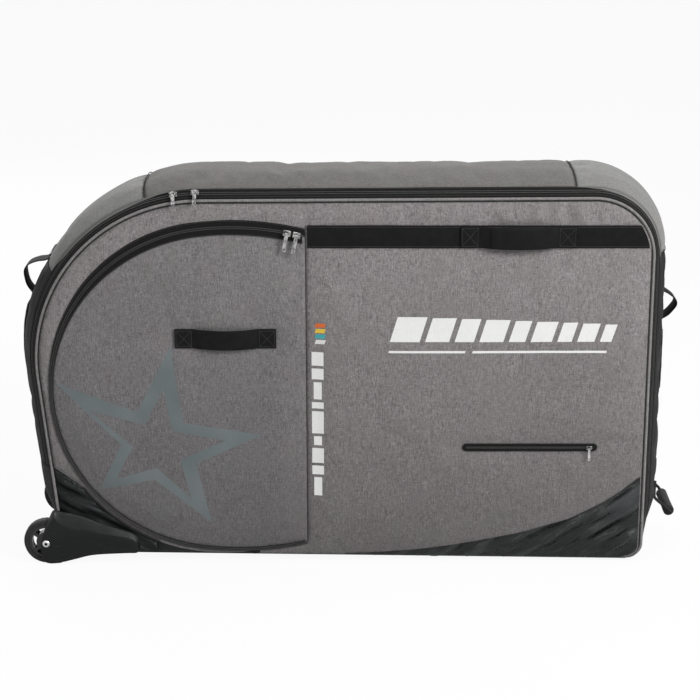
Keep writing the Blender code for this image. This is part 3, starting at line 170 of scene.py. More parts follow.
def paint(name, shade=None, rough=0.5, metal=0.0, bump=None, **fixed):
    """A material: shade, rough, metal and bump are values or functions of a position signal."""
    made = bpy.data.materials.new(name)
    made.use_nodes = True
    tree = made.node_tree
    shader = tree.nodes["Principled BSDF"]
    for key, value in fixed.items():
        shader.inputs[key.replace("_", " ")].default_value = value
    here = Signal(tree).node("TexCoord", output="Object")
    for socket, rule in (("Base Color", shade), ("Roughness", rough), ("Metallic", metal)):
        value = rule(here) if callable(rule) else rule
        if isinstance(value, Signal):
            tree.links.new(value.socket, shader.inputs[socket])
        elif isinstance(value, tuple):
            shader.inputs[socket].default_value = (*value, 1)
        else:
            shader.inputs[socket].default_value = value
    if bump:
        height, depth = bump(here)
        relief = here.node("Bump", Height=height, Strength=1.0, Distance=depth)
        tree.links.new(relief.socket, shader.inputs["Normal"])
    return made


floor = mesh_piece("floor", [(-60, -60, 0), (60, -60, 0), (60, 60, 0), (-60, 60, 0)], [(0, 1, 2, 3)])
floor_paint = bpy.data.materials.new("pale_floor")
floor_paint.use_nodes = True
floor_tree = floor_paint.node_tree
floor_tree.nodes.clear()
ground = Signal(floor_tree)
chalk = ground.node("BsdfDiffuse", Color=(0.8, 0.8, 0.8, 1))
glow = ground.node("Emission", Color=(1, 1, 1, 1), Strength=1.0)
share = ground.node("LightPath", output=0) * 0.93
ground.node("OutputMaterial", Surface=ground.node("MixShader", i0=share, i1=chalk, i2=glow))
floor.data.materials.append(floor_paint)


# Outline of the bag: a rounded rectangle with one large corner over the wheels. The padded
# gusset bulges past it round the ends and the top, and piping runs along its front and back.
HALF_DEPTH = 0.142
PIPE = 0.004
GAP = 0.0003


class Rail:
    """Straight and round stretches in the XZ plane, measured along their length."""

    def __init__(self, stretches):
        self.stretches = stretches
        self.starts = [0]
        for stretch in stretches:
            long = abs(stretch[4] - stretch[3]) * stretch[2] if len(stretch) == 5 \
                else (stretch[1] - stretch[0]).length
            self.starts.append(self.starts[-1] + long)

    def at(self, mark):
        """The point at a distance along the rail, and the outward normal there."""
        mark = min(max(mark, 0), self.starts[-1])
        index = 0
        while index < len(self.stretches) - 1 and mark > self.starts[index + 1]:
            index += 1
        stretch = self.stretches[index]
        part = (mark - self.starts[index]) / (self.starts[index + 1] - self.starts[index])
        if len(stretch) == 2:
            way = (stretch[1] - stretch[0]).normalized()
            return stretch[0].lerp(stretch[1], part), Vector((-way.y, way.x))
        turn = stretch[3] + (stretch[4] - stretch[3]) * part
        normal = Vector((math.cos(turn), math.sin(turn)))
        return stretch[1] + normal * stretch[2], normal

    def find(self, test, first, last):
        """The distance at which test(point) turns from its value at first to that at last."""
        rising = test(self.at(last)[0]) > 0
        for _ in range(36):
            middle = (first + last) / 2
            if (test(self.at(middle)[0]) > 0) == rising:
                last = middle
            else:
                first = middle
        return last


def rounded(before, corner, after, radius):
    """The arc that rounds off a corner: kind, centre, radius, first and last angle."""
    into = (corner - before).normalized()
    turn = math.acos(into.dot((after - corner).normalized()))
    inward = Vector((into.y, -into.x))
    centre = corner - into * radius * math.tan(turn / 2) + inward * radius
    first = math.atan2(-inward.y, -inward.x)
    return "arc", centre, radius, first, first - turn


def arc_end(arc, last):
    """The point where an arc begins, or ends if last is true."""
    turn = arc[4] if last else arc[3]
    return arc[1] + Vector((math.cos(turn), math.sin(turn))) * arc[2]


FOOT_LEFT, FOOT_RIGHT = (-0.6255, 0.026), (0.627, 0.0095)
CORNERS = [Vector(c) for c in (FOOT_LEFT, (-0.6965, 0.802), (0.6205, 0.8104), FOOT_RIGHT)]
RADII = (0.025, 0.352, 0.125, 0.03)
arcs = [rounded(CORNERS[i - 1], CORNERS[i], CORNERS[(i + 1) % 4], RADII[i]) for i in range(4)]
middle_foot = (CORNERS[0] + CORNERS[3]) / 2
stretches = [(middle_foot, arc_end(arcs[0], False))]
for number, arc in enumerate(arcs):
    stretches.append(arc)
    after = arc_end(arcs[number + 1], False) if number < 3 else middle_foot
    stretches.append((arc_end(arc, True), after))
OUTLINE = Rail(stretches)
MARKS = OUTLINE.starts


def left_at(z):
    """The distance round the outline at which its left side reaches a height."""
    return OUTLINE.find(lambda p: p.y - z, MARKS[1], MARKS[4])


def top_at(x):
    """The same for a place along the top."""
    return OUTLINE.find(lambda p: p.x - x, MARKS[3], MARKS[6])


def right_at(z):
    """The same for a height on the right side."""
    return OUTLINE.find(lambda p: z - p.y, MARKS[5], MARKS[8])


def foot_z(x):
    """Height of the sloping bottom line at x."""
    (x1, z1), (x2, z2) = FOOT_LEFT, FOOT_RIGHT
    return z1 + (z2 - z1) * (x - x1) / (x2 - x1)


CROWN_HALF = HALF_DEPTH - 1.5 * PIPE
CROWN = 0.038


def skin(mark, y, lift=0.0):
    """The gusset's face at a distance round the outline and a depth, lifted off it."""
    point, normal = OUTLINE.at(mark)
    rise = max(0, min(1, (point.y - foot_z(point.x)) / 0.12))
    crown = CROWN * rise * (1 - min(1, abs(y) / CROWN_HALF) ** 3.2)
    out = point + normal * (crown + lift)
    return Vector((out.x, y, out.y))


def steps(first, last, pitch):
    """Evenly spaced numbers from first to last, about a pitch apart."""
    return np.linspace(first, last, max(2, round(abs(last - first) / pitch) + 1))


def outline_loop(first, last, inset):
    """Points of the outline between two distances, set in from it."""
    loop = []
    for mark in steps(first, last, 0.006):
        point, normal = OUTLINE.at(mark)
        loop.append(tuple(point - normal * inset))
    return loop


# Wheel pocket flap: a D with its straight side at the seam and a zip round its curve, wide at
# the top of the seam and narrow round the wheel end.
FLAP_R, FLAP_TOP_R, FLAP_FOOT_R = 0.357, 0.6, 0.63
flap_height = foot_z(FOOT_LEFT[0] / 2) + 0.0121 + FLAP_R
FLAP_CENTRE = Vector((OUTLINE.at(left_at(flap_height))[0].x + 0.0237 + FLAP_R, flap_height))
SEAM_X = FLAP_CENTRE.x + 0.181
bend = math.radians(97)
flap_above = FLAP_CENTRE - Vector((math.cos(bend), math.sin(bend))) * (FLAP_TOP_R - FLAP_R)
flap_below = FLAP_CENTRE - Vector((math.cos(bend), -math.sin(bend))) * (FLAP_FOOT_R - FLAP_R)
flap_start = math.acos((SEAM_X - flap_above.x) / FLAP_TOP_R)
flap_end = 2 * math.pi - math.acos((SEAM_X - flap_below.x) / FLAP_FOOT_R)
FLAP = Rail([
    ("arc", flap_above, FLAP_TOP_R, flap_start, bend),
    ("arc", FLAP_CENTRE, FLAP_R, bend, 2 * math.pi - bend),
    ("arc", flap_below, FLAP_FOOT_R, 2 * math.pi - bend, flap_end),
])
FLAP_LONG = FLAP.starts[-1]


ZIP_WIDE, ZIP_NARROW = 0.016, 0.004


def tape_half(mark):
    """Half the width of the flap's zip."""
    part = max(0, min(1, (mark / FLAP_LONG - 0.2) / 0.32))
    return ZIP_WIDE + (ZIP_NARROW - ZIP_WIDE) * part * part * (3 - 2 * part)


def flap_edge(away, limit):
    """The flap's curve set off by away, cut off at x = limit."""
    loop = []
    for mark in steps(0, FLAP_LONG, 0.006):
        point, normal = FLAP.at(mark)
        point = point + normal * away
        loop.append((min(point.x, limit), point.y))
    return loop


# Shell fabric: a padded grey polyester woven from light and dark yarns, so that short flecks of
# both run along and across it. The prints on it are screen printed.
def yarns(here):
    """How light the woven yarns are, from 0 to 1: flecks along each direction of the weave."""
    up = here.speckle((400, 400, 80), 4, 0.66)
    along = here.speckle((95, 400, 400), 4, 0.66)
    deep = here.speckle((360, 46, 360), 3, 0.6)
    return (up + along * 0.62 + deep * 0.38) * 0.5


def heather_shade(dark, light, flecks=0.3):
    """Heather between two colours, with bright flecks, warm and cool patches, and painted shade that darkens
    it towards its foot.
    """
    def shade(here):
        cloth = yarns(here).between(0.38, 0.62).mix(dark, light)
        bright = here.speckle((480, 480, 260), 1).between(0.62, 0.72) * (flecks * 1.5)
        cloth = bright.mix(cloth, tuple(c * 1.7 for c in light))
        warm = here.speckle((13, 13, 13), 3).between(0.45, 0.7) * 0.5
        cloth = warm.mix(cloth, warm.mix(cloth, (0.2, 0.163, 0.168)))
        cool = (0.52 - here.speckle((17, 17, 17), 3)).between(0.0, 0.16) * 0.22
        cloth = cool.mix(cloth, (0.165, 0.168, 0.15))
        _, _, height = axes_of(here)
        # Painted shade: towards the bottom of the bag the cloth is mixed, in patches, towards a darker tone
        # of its dark yarn.
        painted_foot_shade = (here.speckle((4, 4, 4), 4) * 0.4 + 0.44 - height).between(0.0, 0.62) * 0.52
        return painted_foot_shade.mix(cloth, tuple(c * 0.62 for c in dark))
    return shade


def heather_bump(here):
    """Relief of the woven yarns."""
    return yarns(here) + here.speckle((900, 900, 900), 1) * 0.4, 0.0009


def axes_of(here):
    """A position's three measures as signals."""
    split = here.node("SeparateXYZ", Vector=here)
    return [Signal(here.tree, socket) for socket in split.socket.node.outputs]


def flecked(grains, detail, dark, light):
    """A shade that wavers between two colours, with so many grains to the metre."""
    return lambda here: here.speckle((grains, grains, grains), detail).mix(dark, light)


def grain(grains, depth, detail=1):
    """Relief of a depth, with so many grains to the metre."""
    return lambda here: (here.speckle((grains, grains, grains), detail), depth)


DARK_YARN, LIGHT_YARN = (0.098, 0.091, 0.092), (0.262, 0.243, 0.245)
SHELL_GLOSS = {"Sheen_Weight": 0.12, "Sheen_Roughness": 0.5, "Specular_IOR_Level": 0.1}
heather = paint("heather_shell", heather_shade(DARK_YARN, LIGHT_YARN), 0.9, bump=heather_bump, **SHELL_GLOSS)
# The top and the two corners of the gusset are the shell heather in other colours: the top darker, a painted
# shade, and the corners lighter, a painted light.
shaded_top_colours = heather_shade((0.088, 0.085, 0.08), (0.168, 0.162, 0.154), 0.1)
shaded_top_heather = paint("heather_gusset_painted_shade", shaded_top_colours, 0.9, bump=heather_bump, Sheen_Weight=0.15,
                    Sheen_Roughness=0.5, Specular_IOR_Level=0.12)
lit_corner_colours = heather_shade((0.125, 0.124, 0.12), (0.235, 0.232, 0.225), 0.1)
lit_corner_heather = paint("heather_corners_painted_light", lit_corner_colours, 0.85, bump=heather_bump, Sheen_Weight=0.2,
                       Sheen_Roughness=0.5, Specular_IOR_Level=0.2)
lining = paint("grey_lining", flecked(500, 2, (0.03, 0.03, 0.033), (0.07, 0.07, 0.075)), 0.9,
               bump=grain(700, 0.0004))


def inside(points, loop):
    """Which points lie inside a closed loop."""
    x, z = points[:, 0], points[:, 1]
    odd = np.zeros(len(points), bool)
    for (x1, z1), (x2, z2) in zip(loop, np.roll(loop, -1, 0)):
        if z1 != z2:
            crosses = (z1 > z) != (z2 > z)
            odd ^= crosses & (x < (x2 - x1) * (z - z1) / (z2 - z1) + x1)
    return odd


def reach(points, loop):
    """Each point's distance from the nearest side of a closed loop."""
    best = np.full(len(points), 9.0)
    for start, end in zip(loop, np.roll(loop, -1, 0)):
        way = end - start
        long = way @ way
        if long > 0:
            part = np.clip(((points - start) @ way) / long, 0, 1)
            gap = points - start - part[:, None] * way
            best = np.minimum(best, np.hypot(gap[:, 0], gap[:, 1]))
    return best


def refined(loop, pitch):
    """A closed loop with points added so that no side is longer than the pitch."""
    points = []
    for (x1, z1), (x2, z2) in zip(loop, loop[1:] + loop[:1]):
        count = max(1, round(math.hypot(x2 - x1, z2 - z1) / pitch))
        points += [(x1 + (x2 - x1) * k / count, z1 + (z2 - z1) * k / count) for k in range(count)]
    return np.array(points)


def cut_cloth(outer, holes=(), pitch=0.009):
    """Triangles that fill an outline with holes, and each point's distance from the edge."""
    rims = [refined(list(loop), pitch * 0.8) for loop in (outer, *holes)]
    low, high = rims[0].min(0), rims[0].max(0)
    rows = np.arange(low[1], high[1], pitch * 0.866)
    grid = np.array([(x + (k % 2) * pitch / 2, z) for k, z in enumerate(rows)
                     for x in np.arange(low[0], high[0], pitch)])
    away = np.min([reach(grid, rim) for rim in rims], axis=0)
    keep = inside(grid, rims[0]) & (away > pitch * 0.5)
    for rim in rims[1:]:
        keep &= ~inside(grid, rim)
    points, sides, first = [], [], 0
    for rim in rims:
        points += [Vector(p) for p in rim]
        sides += [(first + k, first + (k + 1) % len(rim)) for k in range(len(rim))]
        first += len(rim)
    points += [Vector(p) for p in grid[keep]]
    places, _, triangles = delaunay_2d_cdt(points, sides, [], 0, 1e-6)[:3]
    places = np.array([tuple(p) for p in places])
    triangles = np.array([t for t in triangles if len(t) == 3])
    centres = places[triangles].mean(1)
    keep = inside(centres, rims[0])
    for rim in rims[1:]:
        keep &= ~inside(centres, rim)
    edge = np.min([reach(places, rim) for rim in rims], axis=0)
    return places, triangles[keep], edge


def ripple(x, z, seed):
    """Waves of padded cloth at a place, in metres: broad swells and small wrinkles."""
    broad = noise.noise((x * 4.2, z * 5.0, seed))
    pull = noise.noise((x * 11 + z * 4, z * 15 - x * 3, seed + 5))
    small = noise.noise((x * 38, z * 46, seed + 9))
    return 0.0026 * broad + 0.0016 * pull + 0.00045 * small


def crease(x, z, line):
    """A soft fold along a line from (x1, z1) to (x2, z2), so wide and so high, at a place."""
    x1, z1, x2, z2, wide, high = line
    dx, dz = x2 - x1, z2 - z1
    part = ((x - x1) * dx + (z - z1) * dz) / (dx * dx + dz * dz)
    if not -0.15 < part < 1.15:
        return 0
    off = ((x - x1) * dz - (z - z1) * dx) / math.hypot(dx, dz)
    fade = max(0, 1 - abs(2 * part - 1) ** 3)
    return high * fade * math.exp(-(off / wide) ** 2)


def pressed(x, z, place):
    """How far a sewn-on strip, from (x1, z1) to (x2, z2) and so wide, holds the padding down."""
    x1, z1, x2, z2, half = place
    dx, dz = x2 - x1, z2 - z1
    part = max(0, min(1, ((x - x1) * dx + (z - z1) * dz) / (dx * dx + dz * dz)))
    off = math.hypot(x - x1 - part * dx, z - z1 - part * dz)
    return max(0, min(1, (half + 0.016 - off) / 0.016))


CLOTH_FRAMES = 20


def settle(piece, loose, spare=0.008, cap=0.0045):
    """Lets a piece's cloth settle over its padding. It is sewn down where loose is 0, is cut a
    little longer than its outline, and no point moves further than the cap."""
    sewn = piece.vertex_groups.new(name="Sewn")
    sewn.add([n for n, free in enumerate(loose) if free < 0.06], 1.0, "REPLACE")
    cloth = piece.modifiers.new("Cloth", "CLOTH")
    rule = cloth.settings
    rule.quality = 5
    rule.mass = 0.25
    rule.tension_stiffness = rule.compression_stiffness = rule.shear_stiffness = 12
    rule.bending_stiffness = 1.2
    rule.vertex_group_mass = "Sewn"
    rule.shrink_min = -spare
    rule.use_pressure = True
    rule.uniform_pressure_force = 1.5
    rule.effector_weights.gravity = 0
    cloth.collision_settings.use_collision = False
    cloth.point_cache.frame_start = 1
    cloth.point_cache.frame_end = CLOTH_FRAMES
    for number in range(1, CLOTH_FRAMES + 1):
        bpy.context.scene.frame_set(number)
    count = len(piece.data.vertices)
    start, end = np.zeros(count * 3), np.zeros(count * 3)
    piece.data.vertices.foreach_get("co", start)
    piece.evaluated_get(bpy.context.evaluated_depsgraph_get()).data.vertices.foreach_get("co", end)
    start, moved = start.reshape(-1, 3), (end - start).reshape(-1, 3)
    far = np.maximum(np.linalg.norm(moved, axis=1), 1e-9)
    held = np.minimum(far, cap * np.tanh(far / cap)) / far * np.asarray(loose)
    piece.modifiers.remove(cloth)
    piece.vertex_groups.remove(sewn)
    piece.data.vertices.foreach_set("co", (start + moved * held[:, None]).ravel())
    piece.data.update()
    bpy.context.scene.frame_set(1)
    print("settled", piece.name, "by up to", round(float((far * held).max()) * 1000, 2), "mm")


def face_out(piece, side, number=0):
    """Turns a piece's faces round if the one with that number looks into the bag."""
    if piece.data.polygons[number].normal.y * side < 0:
        piece.data.flip_normals()


def thicken(piece, thick, backing=0):
    """Thickens a piece inwards; its inner face has the material so many slots on."""
    solid = piece.modifiers.new("Thickness", "SOLIDIFY")
    solid.thickness = thick
    solid.offset = -1
    solid.material_offset = backing


def smooth_step(value):
    """A value held between 0 and 1, with a soft start and end."""
    part = max(0.0, min(1.0, value))
    return part * part * (3 - 2 * part)


def panel(name, outer, holes, side, body, finish, seed, folds=(), swell=0.0045, pitch=0.009,
          seam=None, held=()):
    """A padded panel: low at its sewn edges, swelling between them, with its lining inside."""
    places, triangles, edge = cut_cloth(outer, holes, pitch)
    to_zip = reach(places, np.array(flap_edge(0, SEAM_X)))
    points, loose = [], []
    for (x, z), gap, from_zip in zip(places, edge, to_zip):
        free = smooth_step(gap / 0.02) * smooth_step((from_zip - 0.013) / 0.03)
        free *= 1 - max([smooth_step(pressed(x, z, place) * 1.5) for place in held] or [0])
        loose.append(free * (smooth_step(abs(x - seam) / 0.02) if seam else 1))
        rise = 1 - math.exp(-gap / 0.016)
        height = -0.0022 + swell * rise + ripple(x, z, seed) * min(1, gap / 0.03)
        height += 0.0005 * noise.noise((x * 70, z * 70, seed)) * math.exp(-gap / 0.02)
        height += sum(crease(x, z, fold) for fold in folds) * min(1, gap / 0.02)
        for place in held:
            hold = pressed(x, z, place)
            height += (-0.0006 - height) * hold * hold * (3 - 2 * hold)
        if seam:
            height -= 0.0026 * math.exp(-((x - seam) / 0.0045) ** 2)
        points.append((x, side * (HALF_DEPTH + height), z))
    if side > 0:
        triangles = triangles[:, ::-1]
    made = mesh_piece(name, points, triangles, finish)
    made.data.materials.append(lining)
    face_out(made, side)
    settle(made, loose)
    thicken(made, 0.007, 1)
    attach(made, body)
    return made


# Lower left corner of the cloth: cut round the wheel's arch, up to the side of the outline.
AXLE_Z = 0.05
AXLE = Vector((FOOT_LEFT[0] - 0.036, AXLE_Z))
ARCH_R = 0.0563
turn_side = math.radians(90)
while True:
    spot = AXLE + Vector((math.cos(turn_side), math.sin(turn_side))) * ARCH_R
    on_side, outward = OUTLINE.at(left_at(spot.y))
    if (spot - on_side).dot(outward) <= -PIPE - GAP or turn_side < 0:
        break
    turn_side -= math.radians(0.1)
turn_foot = -math.asin((AXLE.y - foot_z(AXLE.x + ARCH_R) - GAP) / ARCH_R)
arch_loop = [tuple(AXLE + Vector((math.cos(t), math.sin(t))) * ARCH_R)
             for t in steps(turn_foot, turn_side, 0.1)]
side_start = left_at(spot.y)

PATCH_R = FLAP_R + 0.0117
patch_turns = steps(math.radians(216), 1.5 * math.pi - math.asin(0.142 / PATCH_R), 0.018)


def patch_edge(radius):
    """Points of the curve between the door and the coated corner, round the flap."""
    return [tuple(FLAP_CENTRE + Vector((math.cos(t), math.sin(t))) * radius) for t in patch_turns]


def worn(here, amount):
    """A print's cover: full, but thin where the weave stands proud."""
    return yarns(here).between(0.3, 0.52) * amount + (1 - amount)


# Painted shade: the front flap is the shell heather in darker colours; the back flap has the plain shell
# heather.
shaded_flap_cloth = paint("flap_shell_painted_shade", heather_shade((0.088, 0.084, 0.086), (0.215, 0.206, 0.21)), 0.9,
                   bump=heather_bump, **SHELL_GLOSS)


def block(x, z, left, right, low, high, slant=0.0):
    """A mask that is 1 in a rectangle whose sides lean by slant."""
    lean = x - (z - low) * slant if slant else x
    return (lean > left) * (lean < right) * ((z > low) * (z < high))


def door_shade(here):
    """Heather with plain geometric prints: coloured bars, a column of blocks and a row of bars."""
    x, _, z = axes_of(here)
    cloth = heather_shade(DARK_YARN, LIGHT_YARN)(here)
    cover = worn(here, 0.15)
    across, up = x - FLAP_CENTRE.x, z - FLAP_CENTRE.y
    strip = ((across * across + up * up) > PATCH_R * PATCH_R) * block(x, z, -0.5, -0.2, -0.1, 0.1)
    cloth = strip.mix(cloth, (0.012, 0.0128, 0.0132))
    bars = [((0.55, 0.12, 0.03), 0.536), ((0.62, 0.42, 0.05), 0.524), ((0.05, 0.3, 0.32), 0.512),
            ((0.6, 0.6, 0.58), 0.5)]
    for shade, start in bars:
        cloth = (block(x, z, -0.079, -0.0585, start, start + 0.009, 0.35) * cover).mix(cloth, shade)
    marks = []
    rise = 0.158
    for number, long in enumerate((0.042, 0.02, 0.034, 0.02, 0.05, 0.014, 0.038, 0.024, 0.03)):
        thin = 0.0 if number % 3 else 0.004
        marks.append(block(x, z, -0.0855 + thin, -0.0605 - thin, rise, rise + long))
        rise += long + 0.0065
    left = 0.078
    for number, wide in enumerate((0.062, 0.05, 0.04, 0.05, 0.034, 0.044, 0.03, 0.036, 0.024)):
        marks.append(block(x, z, left, left + wide, 0.506, 0.56 - number * 0.002, 0.3))
        left += wide + 0.0115
    marks += [block(x, z, *ends, 0.4815, 0.4865, 0.3) for ends in ((0.075, 0.235), (0.25, 0.53))]
    white = sum(marks[1:], marks[0])
    return ((white > 0.5) * cover).mix(cloth, (0.66, 0.66, 0.65))


door_cloth = paint("printed_door", door_shade, 0.84, bump=heather_bump, **SHELL_GLOSS)

# Door and back panel: the same outline, seamed above the flap. Each fold is a line from (x1, z1)
# to (x2, z2), so wide and so high.
ZIP_Z = 0.2215
EDGE = PIPE + GAP
flap_hole = flap_edge(GAP, SEAM_X + GAP)
patch_line = patch_edge(PATCH_R)
patch_foot = patch_line[-1][0]
door_loop = (outline_loop(left_at(ZIP_Z), MARKS[7], EDGE) + outline_loop(MARKS[7], MARKS[8], GAP)[1:]
             + [(patch_foot, foot_z(patch_foot) + GAP)] + patch_line[::-1])
door_folds = [
    (0.34, 0.79, 0.40, 0.55, 0.03, 0.0016), (0.44, 0.76, 0.47, 0.52, 0.024, -0.0014),
    (0.20, 0.70, 0.10, 0.46, 0.04, 0.0013), (0.02, 0.60, 0.06, 0.30, 0.03, -0.001),
    (0.58, 0.66, 0.55, 0.40, 0.022, 0.0015), (0.35, 0.40, 0.58, 0.28, 0.03, 0.0012),
    (-0.05, 0.10, 0.25, 0.16, 0.022, 0.0012), (-0.35, 0.76, -0.13, 0.74, 0.012, 0.0008),
    (0.375, 0.812, 0.392, 0.748, 0.010, 0.0035), (0.405, 0.812, 0.40, 0.748, 0.009, -0.0035),
    (0.425, 0.812, 0.452, 0.745, 0.009, -0.0038), (0.455, 0.812, 0.482, 0.745, 0.009, 0.0042),
    (0.50, 0.81, 0.49, 0.748, 0.010, -0.0028), (0.30, 0.81, 0.315, 0.748, 0.012, 0.0024),
    (0.215, 0.81, 0.20, 0.748, 0.012, 0.002), (0.10, 0.81, 0.12, 0.748, 0.014, -0.0022),
    (0.375, 0.715, 0.36, 0.59, 0.012, -0.0022), (0.455, 0.715, 0.44, 0.54, 0.014, 0.0026),
    (0.41, 0.71, 0.405, 0.60, 0.012, 0.0016), (0.25, 0.71, 0.24, 0.58, 0.016, -0.0018),
    (0.595, 0.60, 0.545, 0.49, 0.010, -0.0024), (0.60, 0.56, 0.56, 0.42, 0.012, 0.0026),
    (0.05, 0.40, 0.22, 0.20, 0.02, 0.0022), (0.0, 0.28, 0.12, 0.14, 0.018, -0.002),
    (0.30, 0.16, 0.44, 0.22, 0.016, 0.0018), (-0.07, 0.66, 0.02, 0.50, 0.02, 0.0018),
]
STRAP_Z, GRAB_Z, SLOT_Z = 0.7305, 0.5115, 0.268
strap_hold = (SEAM_X, STRAP_Z, 0.61, STRAP_Z, 0.02)
pocket_hold = (0.24, SLOT_Z, 0.515, SLOT_Z, 0.009)
front = panel("door_panel", door_loop, [flap_hole], -1, "door", door_cloth, 3.1, door_folds, seam=SEAM_X,
              held=(strap_hold, pocket_hold, (0.51, 0.262, 0.51, 0.24, 0.006)))
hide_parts("front_panel")

flap_folds = [
    (-0.45, 0.66, -0.18, 0.60, 0.03, 0.0012), (-0.58, 0.52, -0.42, 0.60, 0.025, -0.0012),
    (-0.16, 0.50, -0.13, 0.20, 0.025, 0.0014), (-0.30, 0.44, -0.12, 0.36, 0.03, 0.001),
    (-0.52, 0.14, -0.30, 0.06, 0.02, 0.001),
]
flap_loop = flap_edge(-GAP, SEAM_X - GAP)
SIDES = (("front", -1, "door", "flap_front"), ("back", 1, "bag_body", "flap_back"))
flap_pieces = {}
for (word, side, _, body), seed in zip(SIDES, (7.7, 12.3)):
    made = panel(word + "_pocket_flap", flap_loop, [], side, body,
                 shaded_flap_cloth if side < 0 else heather, seed, flap_folds,
                 held=((-0.362, GRAB_Z, -0.34, GRAB_Z, 0.018), (-0.19, GRAB_Z, -0.168, GRAB_Z, 0.018),
                       (-0.15, 0.724, -0.105, 0.7, 0.022)))
    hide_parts(word + "_flap")
    flap_pieces[word] = made

back_loop = (outline_loop(side_start, MARKS[7], EDGE) + outline_loop(MARKS[7], MARKS[8], GAP)[1:] + arch_loop)
back_folds = [(x1, z1, x2, z2, w, -h) for x1, z1, x2, z2, w, h in door_folds]
back = panel("back_panel_cloth", back_loop, [flap_hole], 1, "bag_body", heather, 21.9, back_folds,
             seam=SEAM_X, held=(strap_hold,))
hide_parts("back_panel")


def tree_of(piece):
    """A search tree of a piece's faces, to lay other pieces on it."""
    data = piece.data
    return BVHTree.FromPolygons([v.co for v in data.vertices], [p.vertices for p in data.polygons])


def rest_on(tree, x, z, side=-1):
    """The y of a finished surface at a place, seen from outside."""
    hit = tree.ray_cast(Vector((x, side * 0.4, z)), Vector((0, -side, 0)))[0]
    return hit.y if hit else side * HALF_DEPTH


# Star: the outline of a plain five-pointed star, screen printed in grey-green ink on the front
# flap. It lies on the flap's cloth and so follows its folds.
star_outer = [(-0.3811, 0.493), (-0.3571, 0.3261), (-0.1909, 0.2996), (-0.3331, 0.2337), (-0.3024, 0.0959),
              (-0.4234, 0.1976), (-0.5409, 0.1731), (-0.4909, 0.2764), (-0.624, 0.414), (-0.4543, 0.3511)]
star_inner = [(-0.3981, 0.4016), (-0.3816, 0.3089), (-0.2694, 0.2855), (-0.3663, 0.2436), (-0.3457, 0.1536),
              (-0.4167, 0.2236), (-0.5054, 0.1983), (-0.4668, 0.2719), (-0.5557, 0.3538), (-0.4387, 0.3214)]
ink = paint("star_ink", lambda here: here.speckle((7, 7, 7), 2).between(0.35, 0.65).mix(
    (0.112, 0.13, 0.133), (0.15, 0.168, 0.176)), 0.8, bump=heather_bump, Specular_IOR_Level=0.15)
flap_trees = {word: tree_of(piece) for word, piece in flap_pieces.items()}
places, triangles, _ = cut_cloth(star_outer, [star_inner], 0.006)
points = [(x, rest_on(flap_trees["front"], x, z) - 0.0003, z) for x, z in places]
made = mesh_piece("star_print", points, triangles, ink)
face_out(made, -1)
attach(made, "flap_front")


# Coated corners: black tarpaulin over the lower corners, where the bag rubs on the ground. The
# left one is a corner of the body, the right one is sewn flat onto the door.
def tarp_paint(name, slope, painted_ridge_highlight, shine):
    """Black coated cloth: soft creases climb by a slope in radians, with a painted highlight, a lighter grey,
    on their ridges.
    """
    def creases(here):
        turned = here.node("VectorRotate", {"rotation_type": "Y_AXIS"}, Vector=here, Angle=slope)
        return turned.speckle((6, 6, 36), 1.5, 0.4)

    def shade(here):
        dust = here.speckle((26, 26, 26), 4).between(0.5, 0.75) * 0.45
        base = dust.mix((0.0062, 0.0072, 0.0072), (0.017, 0.0185, 0.0185))
        # Painted highlight: the ridges of the creases are mixed towards a lighter grey.
        return (creases(here).between(0.48, 0.7) * painted_ridge_highlight).mix(base, (0.05, 0.056, 0.057))

    def rough(here):
        return here.speckle((60, 60, 60), 3).between(0.3, 0.7) * 0.15 + 0.22

    def bump(here):
        return creases(here) * 2.6 + here.speckle((420, 420, 420), 1) * 0.04, 0.016
    return paint(name, shade, rough, bump=bump, Specular_IOR_Level=shine)


# Both coated cloths have the painted highlight on their crease ridges, faint on the left corner and strong on
# the right patch.
tarp = tarp_paint("tarpaulin_corner", -0.5, 0.25, 0.1)
tarp_right = tarp_paint("tarpaulin_patch", 0.62, 0.62, 0.29)

corner_line = patch_edge(PATCH_R + GAP)
corner_foot = corner_line[-1][0] - GAP
corner_loop = (outline_loop(side_start, left_at(ZIP_Z - GAP), EDGE) + corner_line[:-1]
               + [(corner_foot, corner_line[-1][1]), (corner_foot, foot_z(corner_foot) + GAP)] + arch_loop)
corner_folds = [
    (-0.63, 0.195, -0.55, 0.15, 0.007, 0.006), (-0.62, 0.172, -0.53, 0.125, 0.007, -0.004),
    (-0.625, 0.15, -0.52, 0.112, 0.008, 0.007), (-0.60, 0.165, -0.49, 0.10, 0.006, 0.005),
    (-0.56, 0.13, -0.48, 0.08, 0.006, 0.004),
]
corner = panel("coated_corner", corner_loop, [], -1, "bag_body", tarp, 33.0, corner_folds, 0.002, 0.006)
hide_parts("corner_panel_left")

